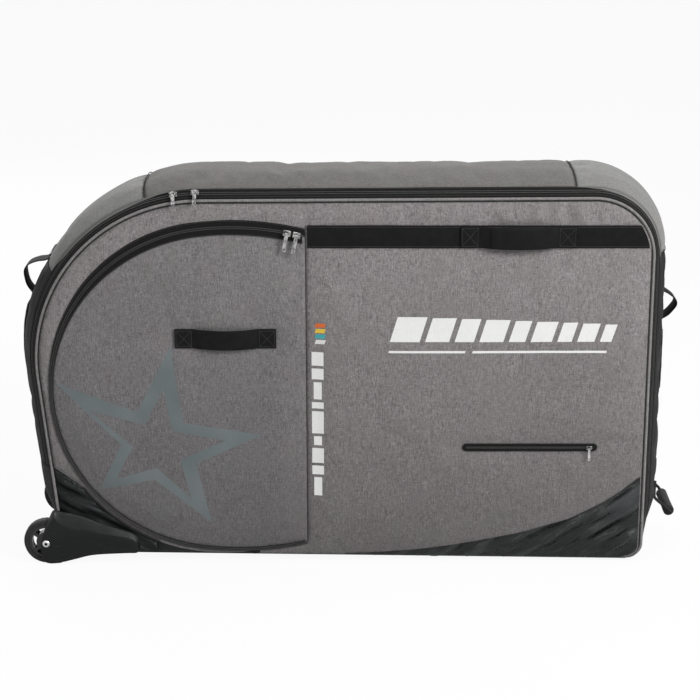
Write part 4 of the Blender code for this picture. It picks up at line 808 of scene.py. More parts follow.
patch_curve = [(-0.016, 0.0205), (0.0655, 0.0255), (0.1469, 0.033), (0.2547, 0.0508), (0.3618, 0.0735),
               (0.4676, 0.1072), (0.538, 0.1445), (0.5725, 0.168), (0.6135, 0.2)]
patch_top = right_at(0.2)
patch_loop = [(x, float(np.interp(x, *zip(*patch_curve)))) for x in steps(-0.016, 0.61, 0.012)]
patch_loop += outline_loop(patch_top, MARKS[7] + 0.028, 2 * EDGE)
patch_loop += [(x, foot_z(x) + 0.0015) for x in (0.58, -0.016)]
places, triangles, edge = cut_cloth(patch_loop, (), 0.007)
patch_folds = [
    (0.60, 0.155, 0.48, 0.085, 0.009, 0.005), (0.60, 0.135, 0.50, 0.06, 0.008, 0.004),
    (0.57, 0.135, 0.43, 0.072, 0.008, 0.0045), (0.608, 0.075, 0.53, 0.028, 0.011, 0.008),
    (0.56, 0.10, 0.44, 0.045, 0.008, 0.0045), (0.50, 0.09, 0.40, 0.04, 0.008, 0.004),
    (0.43, 0.065, 0.32, 0.028, 0.007, 0.003), (0.38, 0.062, 0.28, 0.026, 0.007, 0.0026),
    (0.608, 0.115, 0.555, 0.06, 0.008, 0.005), (0.31, 0.05, 0.22, 0.024, 0.006, 0.002),
]
front_tree = tree_of(front)
points = []
for (x, z), gap in zip(places, edge):
    lift = 0.0011 + 0.0012 * noise.noise((x * 20 + z * 30, z * 42 - x * 10, 4.0)) * min(1, gap / 0.01)
    lift += sum(max(0, crease(x, z, fold)) for fold in patch_folds) * min(1, gap / 0.008)
    points.append((x, rest_on(front_tree, x, z) - max(lift, 0.0006), z))
patch = mesh_piece("coated_patch", points, triangles, tarp_right)
face_out(patch, -1)
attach(patch, "door")
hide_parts("tarp_patch_right")


# Gusset: the padded band round the bag, seamed from five lengths. The ends are black nylon, the
# corners and the top are the grey shell. It is sewn to the piping behind and to the zip in front.
def nylon_bump(here):
    """Relief of plain nylon cloth, with shallow waves that run up the bag's ends."""
    return here.speckle((800, 800, 800), 1) * 0.6 + here.speckle((34, 34, 9), 3) * 1.5, 0.0016


nylon = paint("black_nylon", lambda here: here.speckle((60, 60, 20), 3).between(0.35, 0.7).mix(
    (0.0055, 0.0052, 0.005), (0.014, 0.0133, 0.0127)), 0.6, bump=nylon_bump, Sheen_Weight=0.02,
              Specular_IOR_Level=0.1)
BAND_FRONT = -CROWN_HALF + PIPE / 2
HALF_ZIP = 0.0116
SPLIT = BAND_FRONT + HALF_ZIP
BAND_BACK = BAND_FRONT + 2 * HALF_ZIP
GUSSET_FRONT = BAND_BACK + 2 * GAP
GUSSET_BACK = CROWN_HALF - PIPE / 2 - GAP
over_arch = left_at(AXLE_Z + 0.056 + 0.003)
before_zip = left_at(ZIP_Z - 0.003)
past_zip = MARKS[7] + 0.003
left_seam = MARKS[3] + (arcs[1][3] - math.radians(148.5)) * RADII[1]
if left_seam < MARKS[3]:
    left_seam += 2 * math.pi * RADII[1]


def keep_lay(piece, lay):
    """Keeps each point's measure along and across a strip, for a weave that follows the strip."""
    held = piece.data.attributes.new("lay", "FLOAT_VECTOR", "POINT")
    held.data.foreach_set("vector", np.array(lay, np.float32).ravel())


def grid_piece(name, rows, finish, out, thick=0, lay=None):
    """A piece from rows of points, turned so that it faces along out, and thickened inwards."""
    wide = len(rows[0])
    faces = [(r * wide + c, r * wide + c + 1, (r + 1) * wide + c + 1, (r + 1) * wide + c)
             for r in range(len(rows) - 1) for c in range(wide - 1)]
    made = mesh_piece(name, [p for row in rows for p in row], faces, finish)
    middle = made.data.polygons[len(faces) // 2]
    if middle.normal.dot(out(middle.center)) < 0:
        made.data.flip_normals()
    if lay is not None:
        keep_lay(made, lay)
    if thick:
        thicken(made, thick)
    return made


MIDDLE_Z = 0.414


def from_middle(point):
    """The way out from the middle of the bag."""
    return Vector((point.x, 0, point.z - MIDDLE_Z))


def gusset(name, node, first, last, finish, seed, folds=(), vertical=0.0):
    """One length of the gusset between two distances round the outline."""
    marks = list(steps(first + GAP, last - GAP, 0.007))
    for step in (over_arch, before_zip, past_zip):
        if first < step < last:
            marks += [step - GAP, step + GAP]
    marks.sort()
    shares = np.linspace(0, 1, 36)
    rows = []
    for mark in marks:
        if mark < over_arch:
            front_y, back_y = GUSSET_FRONT, -GUSSET_FRONT
        elif mark < before_zip or mark > past_zip:
            front_y, back_y = -GUSSET_BACK, GUSSET_BACK
        else:
            front_y, back_y = GUSSET_FRONT, GUSSET_BACK
        row = []
        for share in shares:
            y = front_y + (back_y - front_y) * share
            side_gap = min(abs(y - front_y), abs(back_y - y))
            end_gap = min(mark - first, last - mark)
            lift = 0.0028 * noise.noise((mark * 6, y * 9, seed))
            lift += 0.0009 * noise.noise((mark * 26, y * 30, seed + 3))
            lift += vertical * noise.noise((mark * 3.5, y * 55, seed + 6))
            lift *= min(1, side_gap / 0.02)
            lift -= 0.0012 * math.exp(-side_gap / 0.006) + 0.0022 * math.exp(-end_gap / 0.005)
            lift += sum(crease(mark - first, y, fold) for fold in folds) * min(1, side_gap / 0.015)
            row.append(skin(mark, y, lift))
        rows.append(row)
    made = grid_piece(name, rows, finish, from_middle)
    loose = []
    for mark in marks:
        point, _ = OUTLINE.at(mark)
        handle = abs(point.x) > 0.55 and point.y < 0.68
        end_gap = min(mark - first, last - mark)
        for share in shares:
            side_gap = min(share, 1 - share) * 0.25
            free = smooth_step((side_gap - 0.008) / 0.03) * smooth_step(end_gap / 0.02)
            loose.append(free * (smooth_step((abs(share - 0.5) * 0.25 - 0.032) / 0.02) if handle else 1))
    settle(made, loose, 0.01, 0.005)
    made.data.materials.append(lining)
    thicken(made, 0.004, 1)
    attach(made, "bag_body")
    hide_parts(node)
    return made


left_mark, right_mark = top_at(-0.422), top_at(0.46)
right_seam = MARKS[6]
gusset("end_gusset_by_wheels", "end_gusset_left", MARKS[1], left_seam, nylon, 2.0, vertical=0.0022)
gusset("left_corner_gusset", "corner_gusset_left", left_seam, left_mark, lit_corner_heather, 5.0, [
    (0.02, -0.10, 0.22, 0.02, 0.010, 0.0028), (0.05, -0.09, 0.30, 0.09, 0.014, -0.002),
    (0.18, -0.09, 0.34, -0.02, 0.009, 0.002)])
gusset("top_gusset_cloth", "top_gusset", left_mark, right_mark, shaded_top_heather, 8.0, [
    (0.10, -0.09, 0.45, -0.04, 0.02, 0.0018), (0.45, -0.085, 0.72, -0.05, 0.02, -0.0015)])
gusset("right_corner_gusset", "corner_gusset_right", right_mark, right_seam, lit_corner_heather, 11.0, [
    (0.03, -0.06, 0.20, -0.095, 0.008, 0.0026), (0.08, -0.02, 0.24, -0.06, 0.014, -0.0022),
    (0.10, 0.08, 0.22, 0.02, 0.012, 0.002)])
gusset("end_gusset_opposite", "end_gusset_right", right_seam, MARKS[8], nylon, 14.0, vertical=0.0024)


def ring_faces(rings, count, closed=False):
    """Faces between rings of so many points each, and from the last to the first if closed."""
    return [(r * count + c, r * count + (c + 1) % count,
             (r + 1) % rings * count + (c + 1) % count, (r + 1) % rings * count + c)
            for r in range(rings if closed else rings - 1) for c in range(count)]


def end_faces(rings, count):
    """The faces that close off the first ring and the last."""
    return [tuple(range(count))[::-1], tuple(range((rings - 1) * count, rings * count))]


def rod(name, path, radius, finish, sides=8, closed=False, waver=None):
    """A round rod along a path of points; waver(number) scales its radius there."""
    path = [Vector(p) for p in path]
    rows, runs, run = [], [], 0
    across = None
    for number, point in enumerate(path):
        before = path[number - 1] if number or closed else point
        after = path[(number + 1) % len(path)] if number < len(path) - 1 or closed else point
        way = (after - before).normalized()
        if across is None:
            across = way.orthogonal().normalized()
        across = (across - way * across.dot(way)).normalized()
        up = way.cross(across)
        size = radius * (waver(number) if waver else 1)
        ring = []
        for turn in np.linspace(0, 2 * math.pi, sides, endpoint=False):
            ring.append(point + (across * math.cos(turn) + up * math.sin(turn)) * size)
            runs.append((run, turn / (2 * math.pi) * 2 * math.pi * radius, 0))
        rows.append(ring)
        run += (after - point).length if number < len(path) - 1 else 0
    faces = ring_faces(len(rows), sides, closed)
    if not closed:
        faces += end_faces(len(rows), sides)
    made = mesh_piece(name, [p for row in rows for p in row], faces, finish)
    made.data.set_sharp_from_angle(angle=math.radians(60))
    keep_lay(made, runs)
    return made


# Dark tape for the seams between gusset lengths and along the coated corner's edge; inside each piping it
# also makes a painted shadow.
seam_and_shadow_tape = paint("seam_binding_and_shadow", flecked(300, 2, (0.02, 0.02, 0.02), (0.04, 0.04, 0.04)), 0.8,
                  Specular_IOR_Level=0.05)
for number, mark in enumerate((left_seam, left_mark, right_mark, right_seam)):
    path = [skin(mark, y, 0.0004) for y in np.linspace(GUSSET_FRONT, GUSSET_BACK, 30)]
    made = rod("gusset_seam_%d" % (number + 1), path, 0.0011, seam_and_shadow_tape, 6)
    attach(made, "bag_body")

binding = [(x, -HALF_DEPTH + 0.0002, z) for x, z in patch_edge(PATCH_R + GAP / 2)]
made = rod("corner_seam", binding, 0.0013, seam_and_shadow_tape, 6)
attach(made, "bag_body")

# Piping: a soft cord in a strip of the grey shell, sewn between each panel and the gusset.
piping_cloth = paint("piping_cloth", lambda here: yarns(here).between(0.36, 0.64).mix(
    (0.115, 0.11, 0.108), (0.25, 0.24, 0.236)), 0.8, bump=heather_bump, Sheen_Weight=0.1,
                     Specular_IOR_Level=0.1)
for word, side, first, body in (("front", -1, left_at(ZIP_Z + GAP), "door"),
                                ("back", 1, left_at(AXLE_Z + ARCH_R + PIPE), "bag_body")):
    path, inner = [], []
    for mark in steps(first, MARKS[7] + 0.03, 0.008):
        point, normal = OUTLINE.at(mark)
        sewn = point - normal * (PIPE + 0.0004)
        inner.append((sewn.x, side * (HALF_DEPTH - 0.0016), sewn.y))
        point = point - normal * 0.0035 * max(0, (mark - MARKS[7]) / 0.03)
        path.append((point.x, side * (HALF_DEPTH - PIPE), point.y))
    made = rod(word + "_edge_piping", path, PIPE * 0.78, piping_cloth, 10,
               waver=lambda n: 1 + 0.06 * noise.noise((n * 0.9, 3.0, 1.0)))
    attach(made, body)
    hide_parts(word + "_piping")
    # Painted shadow: a thin dark rod along the panel's edge, just inside the piping, where the gap beside the
    # piping is in shade.
    made = rod(word + "_piping_seam", inner, 0.0012, seam_and_shadow_tape, 6)
    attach(made, body)

path = []
for mark in steps(side_start, left_at(ZIP_Z - GAP), 0.008):
    point, _ = OUTLINE.at(mark)
    path.append((point.x, -(HALF_DEPTH - PIPE), point.y))
made = rod("corner_edge_piping", path, PIPE * 0.78, piping_cloth, 10)
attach(made, "bag_body")


# Zips: black polyester tape, sewn down along both edges, with two nylon coils in the middle.
def lay_of(here):
    """A strip's own measure along and across it."""
    return here.node("Attribute", {"attribute_name": "lay"}, 1)


def ribs(here, run_pitch, across_pitch):
    """Woven ribs along and across a strip, from its own lengthwise measure."""
    run, across, _ = axes_of(lay_of(here))
    one = (run * (2 * math.pi / run_pitch)).math("SINE")
    two = (across * (2 * math.pi / across_pitch)).math("SINE")
    return one, two


def tape_bump(here):
    """Relief of zip tape."""
    one, two = ribs(here, 0.0014, 0.0009)
    return one * 0.3 + two * 0.5, 0.00025


tape_shade = flecked(180, 3, (0.005, 0.0047, 0.0047), (0.014, 0.0135, 0.0135))
tape_cloth = paint("zip_tape_cloth", tape_shade, 0.7, bump=tape_bump, Sheen_Weight=0.02,
                   Specular_IOR_Level=0.06)
coil_nylon = paint("zip_coil", flecked(90, 2, (0.022, 0.021, 0.021), (0.045, 0.044, 0.043)), 0.42,
                   bump=lambda here: (ribs(here, 0.0025, 0.004)[0], 0.0004), Specular_IOR_Level=0.3)
thread = paint("grey_thread", flecked(400, 1, (0.10, 0.10, 0.10), (0.2, 0.195, 0.19)), 0.8)
black_thread = paint("black_thread", flecked(400, 1, (0.02, 0.02, 0.02), (0.05, 0.05, 0.05)), 0.75)
THREAD = 0.00045


def stitches(name, path, outs, body, finish=thread, pitch=0.0046):
    """A row of lock stitches along a path of points; outs are the ways off the surface."""
    points, faces = [], []
    path = [Vector(p) for p in path]
    run, due = 0.0, pitch / 2
    for start, end, out in zip(path, path[1:], outs):
        long = (end - start).length
        if long <= 0:
            continue
        way = (end - start) / long
        out = Vector(out).normalized()
        side = way.cross(out).normalized() * THREAD
        while due <= run + long:
            middle = start + way * (due - run) + out * 0.0003
            half = way * pitch * 0.34
            base = len(points)
            points += [middle - half * 1.25 - out * 0.0004, middle + half * 1.25 - out * 0.0004]
            for centre in (middle - half * 0.8, middle + half * 0.8):
                points += [centre + side, centre + out * THREAD, centre - side, centre - out * THREAD]
            for k in range(4):
                a, b = base + 2 + k, base + 2 + (k + 1) % 4
                faces += [(base, b, a), (a, b, b + 4, a + 4), (base + 1, a + 4, b + 4)]
            due += pitch
        run += long
    made = mesh_piece(name, points, faces, finish)
    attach(made, body)
    return made


def flap_zip(word, side, inner, body):
    """One half of a flap's zip: its tape, its coil and the stitching along its edge."""
    sign = -1 if inner else 1
    limit = SEAM_X - (0.006 if inner else GAP)
    face = HALF_DEPTH + GAP
    marks = steps(0, FLAP_LONG, 0.005)
    shares = (0, 0.1, 0.24, 0.4, 0.6, 0.8, 0.93, 1)
    heights = (0.0004, 0.0011, 0.0012, 0.0011, 0.0013, 0.0016, 0.0019, 0.0003)
    rows, lay = [], []
    for mark in marks:
        point, normal = FLAP.at(mark)
        half = tape_half(mark)
        row = []
        for share, height in zip(shares, heights):
            away = GAP + (half - GAP) * share
            spot = point + normal * away * sign
            swell = 0.0005 * noise.noise((mark * 30, share * 2, 1.0 + side))
            row.append(Vector((min(spot.x, limit), side * (face + height + swell * share), spot.y)))
            lay.append((mark, away, 0))
        rows.append(row)
    name = "%s_flap_zip_%s" % (word, "inner" if inner else "outer")
    made = grid_piece(name + "_tape", rows, tape_cloth, lambda p: Vector((0, side, 0)), 0.0012, lay=lay)
    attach(made, body)
    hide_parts(name)
    coil, path, outs = [], [], []
    for mark in steps(0, FLAP_LONG, 0.00125):
        point, normal = FLAP.at(mark)
        spot = point + normal * sign * min(0.0019, tape_half(mark) * 0.42)
        if spot.x < limit - 0.001:
            coil.append((spot.x, side * (face + 0.0014), spot.y))
    made = rod(name + "_coil", coil, 0.0013, coil_nylon, 6, waver=lambda n: 1.0 if n % 2 else 0.78)
    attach(made, body)
    for mark in marks:
        point, normal = FLAP.at(mark)
        half = tape_half(mark)
        spot = point + normal * sign * (half - 0.0022 if half > 0.006 else half - 0.0009)
        if spot.x < limit - 0.001:
            path.append((spot.x, side * (face + 0.0019), spot.y))
            outs.append((0, side, 0))
    stitches(name + "_stitches", path, outs, body, black_thread)
    if inner:
        path = []
        for mark in marks:
            point, normal = FLAP.at(mark)
            spot = point - normal * (tape_half(mark) + 0.0016)
            if spot.x < limit:
                path.append((spot.x, spot.y))
        laid = [(x, rest_on(flap_trees[word], x, z, side) + side * 0.0001, z) for x, z in path]
        stitches(name + "_topstitch", laid, [(0, side, 0)] * len(laid), body, thread)


for word, side, panel_body, flap_body in SIDES:
    flap_zip(word, side, False, panel_body)
    flap_zip(word, side, True, flap_body)


def band_shade(here):
    """Black tape, with a strip of the grey shell folded over its edge round the two top corners."""
    run, across, _ = axes_of(lay_of(here))
    left = run.between(left_seam, left_seam + 0.05) * (1 - run.between(top_at(-0.45), top_at(-0.36)))
    right = run.between(top_at(0.45), top_at(0.53)) * (1 - run.between(right_at(0.71), right_at(0.66)))
    fold = (left + right) * 0.0082 + here.speckle((16, 16, 16), 2) * 0.003 - 0.0012
    return (fold > across).mix(tape_shade(here), yarns(here).mix((0.1, 0.098, 0.094), (0.2, 0.195, 0.19)))


band_cloth = paint("body_zip_band", band_shade, 0.75, bump=tape_bump, Sheen_Weight=0.02,
                   Specular_IOR_Level=0.06)


def main_zip(name, y_edge, y_split, body, finish):
    """One half of the long zip round the door, on the front shoulder of the gusset."""
    marks = steps(left_at(ZIP_Z + GAP), MARKS[7], 0.006)
    shares = (0, 0.06, 0.2, 0.42, 0.62, 0.8, 1)
    heights = (0.0001, 0.0013, 0.0016, 0.0007, 0.0006, 0.0009, 0.0006)
    rows, lay = [], []
    for mark in marks:
        puff = 1 + 0.5 * noise.noise((mark * 14, y_edge * 40, 2.0))
        row = []
        for share, height in zip(shares, heights):
            y = y_edge + (y_split - y_edge) * share
            row.append(skin(mark, y, height * (puff if share < 0.5 else 1)))
            lay.append((mark, share * HALF_ZIP, 0))
        rows.append(row)
    made = grid_piece(name + "_band", rows, finish, from_middle, 0.0018, lay=lay)
    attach(made, body)
    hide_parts(name)
    y_coil = y_split + math.copysign(0.0017, y_edge - y_split)
    coil = [skin(mark, y_coil, 0.0006) for mark in steps(marks[0], marks[-1], 0.00125)]
    made = rod(name + "_coil", coil, 0.0012, coil_nylon, 6, waver=lambda n: 1.0 if n % 2 else 0.78)
    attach(made, body)
    y_sewn = y_edge + (y_split - y_edge) * 0.3
    path = [skin(mark, y_sewn, 0.0013) for mark in marks]
    outs = [skin(mark, y_sewn, 0.01) - skin(mark, y_sewn) for mark in marks]
    stitches(name + "_stitches", path, outs, body, black_thread)


main_zip("door_zip_tape", BAND_FRONT, SPLIT - GAP, "door", tape_cloth)
main_zip("body_zip_tape", BAND_BACK, SPLIT + GAP, "bag_body", band_cloth)


# Carry straps and handles: flat black nylon webbing, stitched down in boxes at their ends.
def web_shade(here):
    """Black webbing with lighter ribs and a little dust."""
    one, two = ribs(here, 0.0032, 0.0024)
    dust = here.speckle((55, 55, 55), 3).between(0.4, 0.75) * 0.35
    return (one * two * 0.12 + 0.2 + dust).mix((0.0045, 0.0044, 0.0044), (0.0135, 0.013, 0.013))


def web_bump(here):
    """Relief of webbing."""
    one, two = ribs(here, 0.0032, 0.0024)
    return one * two + here.speckle((700, 700, 700), 1) * 0.4, 0.0005


web_cloth = paint("black_webbing", web_shade, 0.66, bump=web_bump, Sheen_Weight=0.02, Specular_IOR_Level=0.07)


def belt(name, spine, width, thick, crown=0.0):
    """Webbing along a spine of (point, across, out) frames, with soft edges and closed ends."""
    shares = (-1, -0.985, -0.93, -0.8, -0.4, 0, 0.4, 0.8, 0.93, 0.985, 1)
    rows, lay, run = [], [], 0
    before = None
    for point, across, out in spine:
        point, across, out = Vector(point), Vector(across).normalized(), Vector(out).normalized()
        run += (point - before).length if before else 0
        before = point
        ring = []
        for s in shares:
            top = thick * (0.5 + 0.5 * (1 - abs(s) ** 14) ** 0.5) + crown * (1 - s * s)
            ring.append(point + across * s * width / 2 + out * top)
            lay.append((run, s * width / 2, 0))
        for s in (1, 0.93, 0, -0.93, -1):
            low = thick * 0.25 if abs(s) == 1 else 0
            ring.append(point + across * s * width / 2 + out * low)
            lay.append((run, s * width / 2, 0))
        rows.append(ring)
    count, ring = len(rows), len(rows[0])
    faces = ring_faces(count, ring) + end_faces(count, ring)
    made = mesh_piece(name, [p for row in rows for p in row], faces, web_cloth)
    centre = sum((Vector(p) for p in rows[count // 2]), Vector()) / ring
    face = made.data.polygons[(count // 2) * ring + 4]
    if face.normal.dot(face.center - centre) < 0:
        made.data.flip_normals()
    made.data.set_sharp_from_angle(angle=math.radians(50))
    keep_lay(made, lay)
    return made


def box_stitch(name, x1, x2, z1, z2, y, side, body):
    """A sewn box with a cross in it, on a face at y."""
    corners = [(x1, y, z1), (x2, y, z1), (x2, y, z2), (x1, y, z2), (x1, y, z1)]
    runs = corners + [(x2, y, z2), (x2, y, z1), (x1, y, z2)]
    path = []
    for a, b in zip(runs, runs[1:]):
        path += [Vector(a).lerp(Vector(b), k / 6) for k in range(6)]
    path.append(Vector(runs[-1]))
    stitches(name, path, [(0, side, 0)] * len(path), body, black_thread, 0.0042)


STRAP_FACE = HALF_DEPTH + GAP
STRAP_END = 0.611
for word, side, body, _ in SIDES:
    spine, edge_low, edge_high = [], [], []
    for x in steps(SEAM_X + 0.004, STRAP_END, 0.007):
        wave = 0.0005 * noise.noise((x * 9, 2.0 + side, 0.0))
        lift = 0.0004 * noise.noise((x * 22, 5.0 + side, 0.0)) + 0.0003
        spine.append(((x, side * (STRAP_FACE + lift), STRAP_Z + wave), (0, 0, 1), (0, side, 0)))
        for edge, share in ((edge_low, -1), (edge_high, 1)):
            edge.append((x, side * (STRAP_FACE + lift + 0.0025), STRAP_Z + wave + share * 0.0205))
    made = belt(word + "_long_strap", spine, 0.048, 0.0025)
    for vertex in made.data.vertices:
        if vertex.co.x > 0.5:
            limit = OUTLINE.at(right_at(vertex.co.z))[0].x - 2 * EDGE
            vertex.co.x = 0.5 + (vertex.co.x - 0.5) * (limit - 0.5) / (STRAP_END - 0.5)
    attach(made, body)
    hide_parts(word + "_carry_strap")
    for number, edge in enumerate((edge_low, edge_high)):
        stitches("%s_long_strap_stitches_%d" % (word, number), edge, [(0, side, 0)] * len(edge), body,
                 black_thread)


def bowed(name, node, side, left, right, height, width, base, thick, body):
    """A handle sewn down at both ends and bowed out between them."""
    spine = []
    inner = right - left - 0.08
    for x in steps(left, right, 0.004):
        share = (x - left - 0.04) / inner
        lift = 0.016 * math.sin(math.pi * share) ** 0.8 if 0 < share < 1 else 0
        spine.append(((x, side * (base + lift), height), (0, 0, 1)))
    frames = []
    for number, (point, across) in enumerate(spine):
        ahead = Vector(spine[min(number + 1, len(spine) - 1)][0]) - Vector(spine[max(number - 1, 0)][0])
        out = ahead.normalized().cross(Vector(across)) * -1
        if out.y * side < 0:
            out = -out
        frames.append((point, across, out))
    made = belt(name, frames, width, thick)
    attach(made, body)
    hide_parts(node)
    face = side * (base + thick + 0.0001)
    for number, (x1, x2) in enumerate(((left + 0.003, left + 0.035), (right - 0.035, right - 0.003))):
        box_stitch("%s_box_%d" % (name, number + 1), x1, x2, height - width / 2 + 0.004,
                   height + width / 2 - 0.004, face, side, body)
    return frames


for word, side, body, flap_body in SIDES:
    frames = bowed(word + "_handle_webbing", word + "_carry_handle", side, 0.222, 0.46, STRAP_Z, 0.045,
                   STRAP_FACE + 0.0025 + GAP, 0.004, body)
    wrap = [f for f in frames if 0.285 < f[0][0] < 0.40]
    wrap = [(Vector(p) - Vector(o) * 0.0012, a, o) for p, a, o in wrap]
    made = belt(word + "_handle_wrap", wrap, 0.0462, 0.0064, 0.0008)
    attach(made, body)
    bowed(word + "_flap_handle", word + "_grab_handle", side, -0.371, -0.159, GRAB_Z, 0.042,
          STRAP_FACE, 0.004, flap_body)


# End handles: a loop of webbing high on each end, sewn on above a padded sleeve that the webbing
# runs down through. They lift the bag end over end.
def led_through(points, cuts):
    """An open path led smoothly through the points, with so many steps between two of them."""
    last = len(points) - 1
    path = []
    for n in range(last):
        a, b, c, d = (points[max(0, min(last, n + k))] for k in (-1, 0, 1, 2))
        for t in (k / cuts for k in range(cuts)):
            path.append(0.5 * ((2 * b) + (c - a) * t + (2 * a - 5 * b + 4 * c - d) * t * t
                               + (3 * b - a - 3 * c + d) * t ** 3))
    return path + [points[-1]]


def end_handle(word, mark_at, top, side_x):
    """The loop and the sleeve of one end, below the height top; mark_at gives heights on that end."""
    sleeve = 0.135
    bottom = top - 0.068
    sleeve_top = bottom - 0.02
    lowest = sleeve_top - sleeve - 0.02
    path = [(top + 0.02, 0)]
    for z, share in zip(np.linspace(top, bottom, 7), (0, 0.5, 0.9, 1, 0.8, 0.5, 0)):
        path.append((z, share * 0.034))
    path += [(z, 0) for z in np.linspace(bottom - 0.01, lowest, 7)]
    smooth = led_through([skin(mark_at(z), 0, GAP + lift) for z, lift in path], 6)
    frames = []
    for number, point in enumerate(smooth):
        way = (smooth[min(number + 1, len(smooth) - 1)] - smooth[max(0, number - 1)]).normalized()
        out = way.cross(Vector((0, 1, 0)))
        if out.x * side_x < 0:
            out = -out
        frames.append((point, (0, 1, 0), out))
    made = belt("end_handle_" + word, frames, 0.045, 0.0025)
    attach(made, "bag_body")
    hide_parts("end_loop_" + word)
    for number, z in enumerate((top + 0.012, lowest + 0.006)):
        middle = skin(mark_at(z), 0, GAP + 0.0026)
        ahead = skin(mark_at(z + 0.006), 0, GAP + 0.0026) - middle
        out = Vector((side_x, 0, 0))
        runs = []
        for corner in ((-1, -1), (1, -1), (1, 1), (-1, 1), (-1, -1), (1, 1), (1, -1), (-1, 1)):
            runs.append(middle + Vector((0, corner[0] * 0.018, 0)) + ahead * corner[1])
        line = [a.lerp(b, k / 6) for a, b in zip(runs, runs[1:]) for k in range(6)]
        stitches("end_handle_%s_box_%d" % (word, number), line, [out] * len(line), "bag_body",
                 black_thread, 0.0042)
    frames = []
    for z in np.linspace(sleeve_top, sleeve_top - sleeve, 30):
        point = skin(mark_at(z), 0, 2 * GAP + 0.0025)
        way = skin(mark_at(z + 0.01), 0) - skin(mark_at(z - 0.01), 0)
        out = way.cross(Vector((0, 1, 0)))
        if out.x * side_x < 0:
            out = -out
        part = abs(2 * (sleeve_top - z) / sleeve - 1)
        frames.append((point, (0, 1, 0), out, 1 - 0.35 * part ** 8))
    shares = np.linspace(-1, 1, 15)
    rows = []
    for point, across, out, full in frames:
        row = []
        for s in (float(share) for share in shares):
            lift = 0.0018 + 0.0052 * full * (1 - abs(s) ** 5)
            lift += 0.0006 * noise.noise((point.z * 50, s * 3, side_x))
            row.append(point + Vector(across) * s * 0.028 + out.normalized() * lift)
        rows.append(row)
    made = grid_piece("end_sleeve_pad_" + word, rows, nylon, lambda p: Vector((side_x, 0, 0)), 0.0018)
    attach(made, "bag_body")
    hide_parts("end_sleeve_" + word)
    for share in (-0.86, 0.86):
        line = [p + Vector(a) * share * 0.028 + o.normalized() * 0.0043 for p, a, o, _ in frames]
        stitches("end_sleeve_%s_seam_%d" % (word, share > 0), line, [f[2] for f in frames], "bag_body",
                 black_thread)


end_handle("left", left_at, 0.63, -1)
end_handle("right", right_at, 0.583, 1)


# Pull strap low on the end away from the wheels: a cord sewn to the gusset at both ends, with a
# moulded rubber grip threaded on it.
def cord_bump(here):
    """Relief of braided cord."""
    one, two = ribs(here, 0.004, 0.0055)
    return one * 0.8 + two * 0.8, 0.0005


braid = paint("braided_cord", flecked(300, 1, (0.009, 0.009, 0.009), (0.022, 0.022, 0.022)), 0.62,
              bump=cord_bump, Specular_IOR_Level=0.15)
CORD_R = 0.0035
GRIP_X, GRIP_Z, HALF_GRIP = 0.6995, 0.083, 0.0525
CORD_RISE = 0.045
across = HALF_GRIP + 3 * CORD_R
lift = CORD_R - 2 * GAP
anchor = skin(right_at(GRIP_Z + CORD_RISE), across, lift)
half_route = [skin(right_at(GRIP_Z + CORD_RISE + 0.03), across, lift), Vector((anchor.x, across, anchor.z)),
              Vector((anchor.x + CORD_R, across, anchor.z - CORD_RISE / 4)),
              Vector((GRIP_X - 2 * CORD_R, across, GRIP_Z + CORD_RISE / 4)),
              Vector((GRIP_X, across - CORD_R / 2, GRIP_Z + CORD_R / 2)), Vector((GRIP_X, HALF_GRIP, GRIP_Z))]
route = half_route + [Vector((p.x, -p.y, p.z)) for p in half_route[::-1]]
made = rod("pull_cord", led_through(route, 8), 0.0034, braid, 12)
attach(made, "bag_body")
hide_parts("pull_strap")


# Accessory pocket: a bound slot in the door with its own zip.
slot_low, slot_high = 0.235 + 0.0075, 0.52 - 0.0075


def slot_edge(radius):
    """A loop round the slot, so far from its middle line."""
    loop = []
    for centre, first in ((slot_high, -90), (slot_low, 90)):
        for turn in np.radians(np.linspace(first, first + 180, 13)):
            loop.append((centre + radius * math.cos(turn), SLOT_Z + radius * math.sin(turn)))
    return loop


places, triangles, edge = cut_cloth(slot_edge(0.0066), (), 0.004)
points = [(x, -HALF_DEPTH - 0.0009 - 0.0006 * min(1, gap / 0.003), z) for (x, z), gap in zip(places, edge)]
made = mesh_piece("pocket_zip_tape", points, triangles, tape_cloth)
face_out(made, -1)
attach(made, "door")
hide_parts("pocket_zip")
rim = [(x, -HALF_DEPTH - 0.0007, z) for x, z in refined(slot_edge(0.0075), 0.005)]
made = rod("pocket_binding", rim, 0.0012, nylon, 8, closed=True)
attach(made, "door")
for number, z in enumerate((SLOT_Z - 0.0012, SLOT_Z + 0.0012)):
    coil = [(x, -HALF_DEPTH - 0.0016, z) for x in steps(slot_low, slot_high, 0.00125)]
    made = rod("pocket_coil_%d" % number, coil, 0.0009, coil_nylon, 6, waver=lambda n: 1.0 if n % 2 else 0.8)
    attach(made, "door")
path = [(x, rest_on(front_tree, x, z), z) for x, z in refined(slot_edge(0.0105), 0.005)]
stitches("pocket_stitches", path + path[:1], [(0, -1, 0)] * (len(path) + 1), "door", thread)


# Wheel pockets: a padded round pan sewn behind each flap, deep enough for a wheel.
def pocket_loop(away):
    """A loop round the pocket: the flap's curve, and a bow beyond the seam."""
    loop = []
    for mark in steps(0, FLAP_LONG, 0.02):
        point, normal = FLAP.at(mark)
        loop.append(point + normal * away)
    top, foot = loop[0], loop[-1]
    for turn in np.linspace(-math.pi / 2, math.pi / 2, 30)[1:-1]:
        point = foot.lerp(top, (math.sin(turn) + 1) / 2)
        loop.append(point + Vector(((0.177 + away) * math.cos(turn), 0)))
    return loop


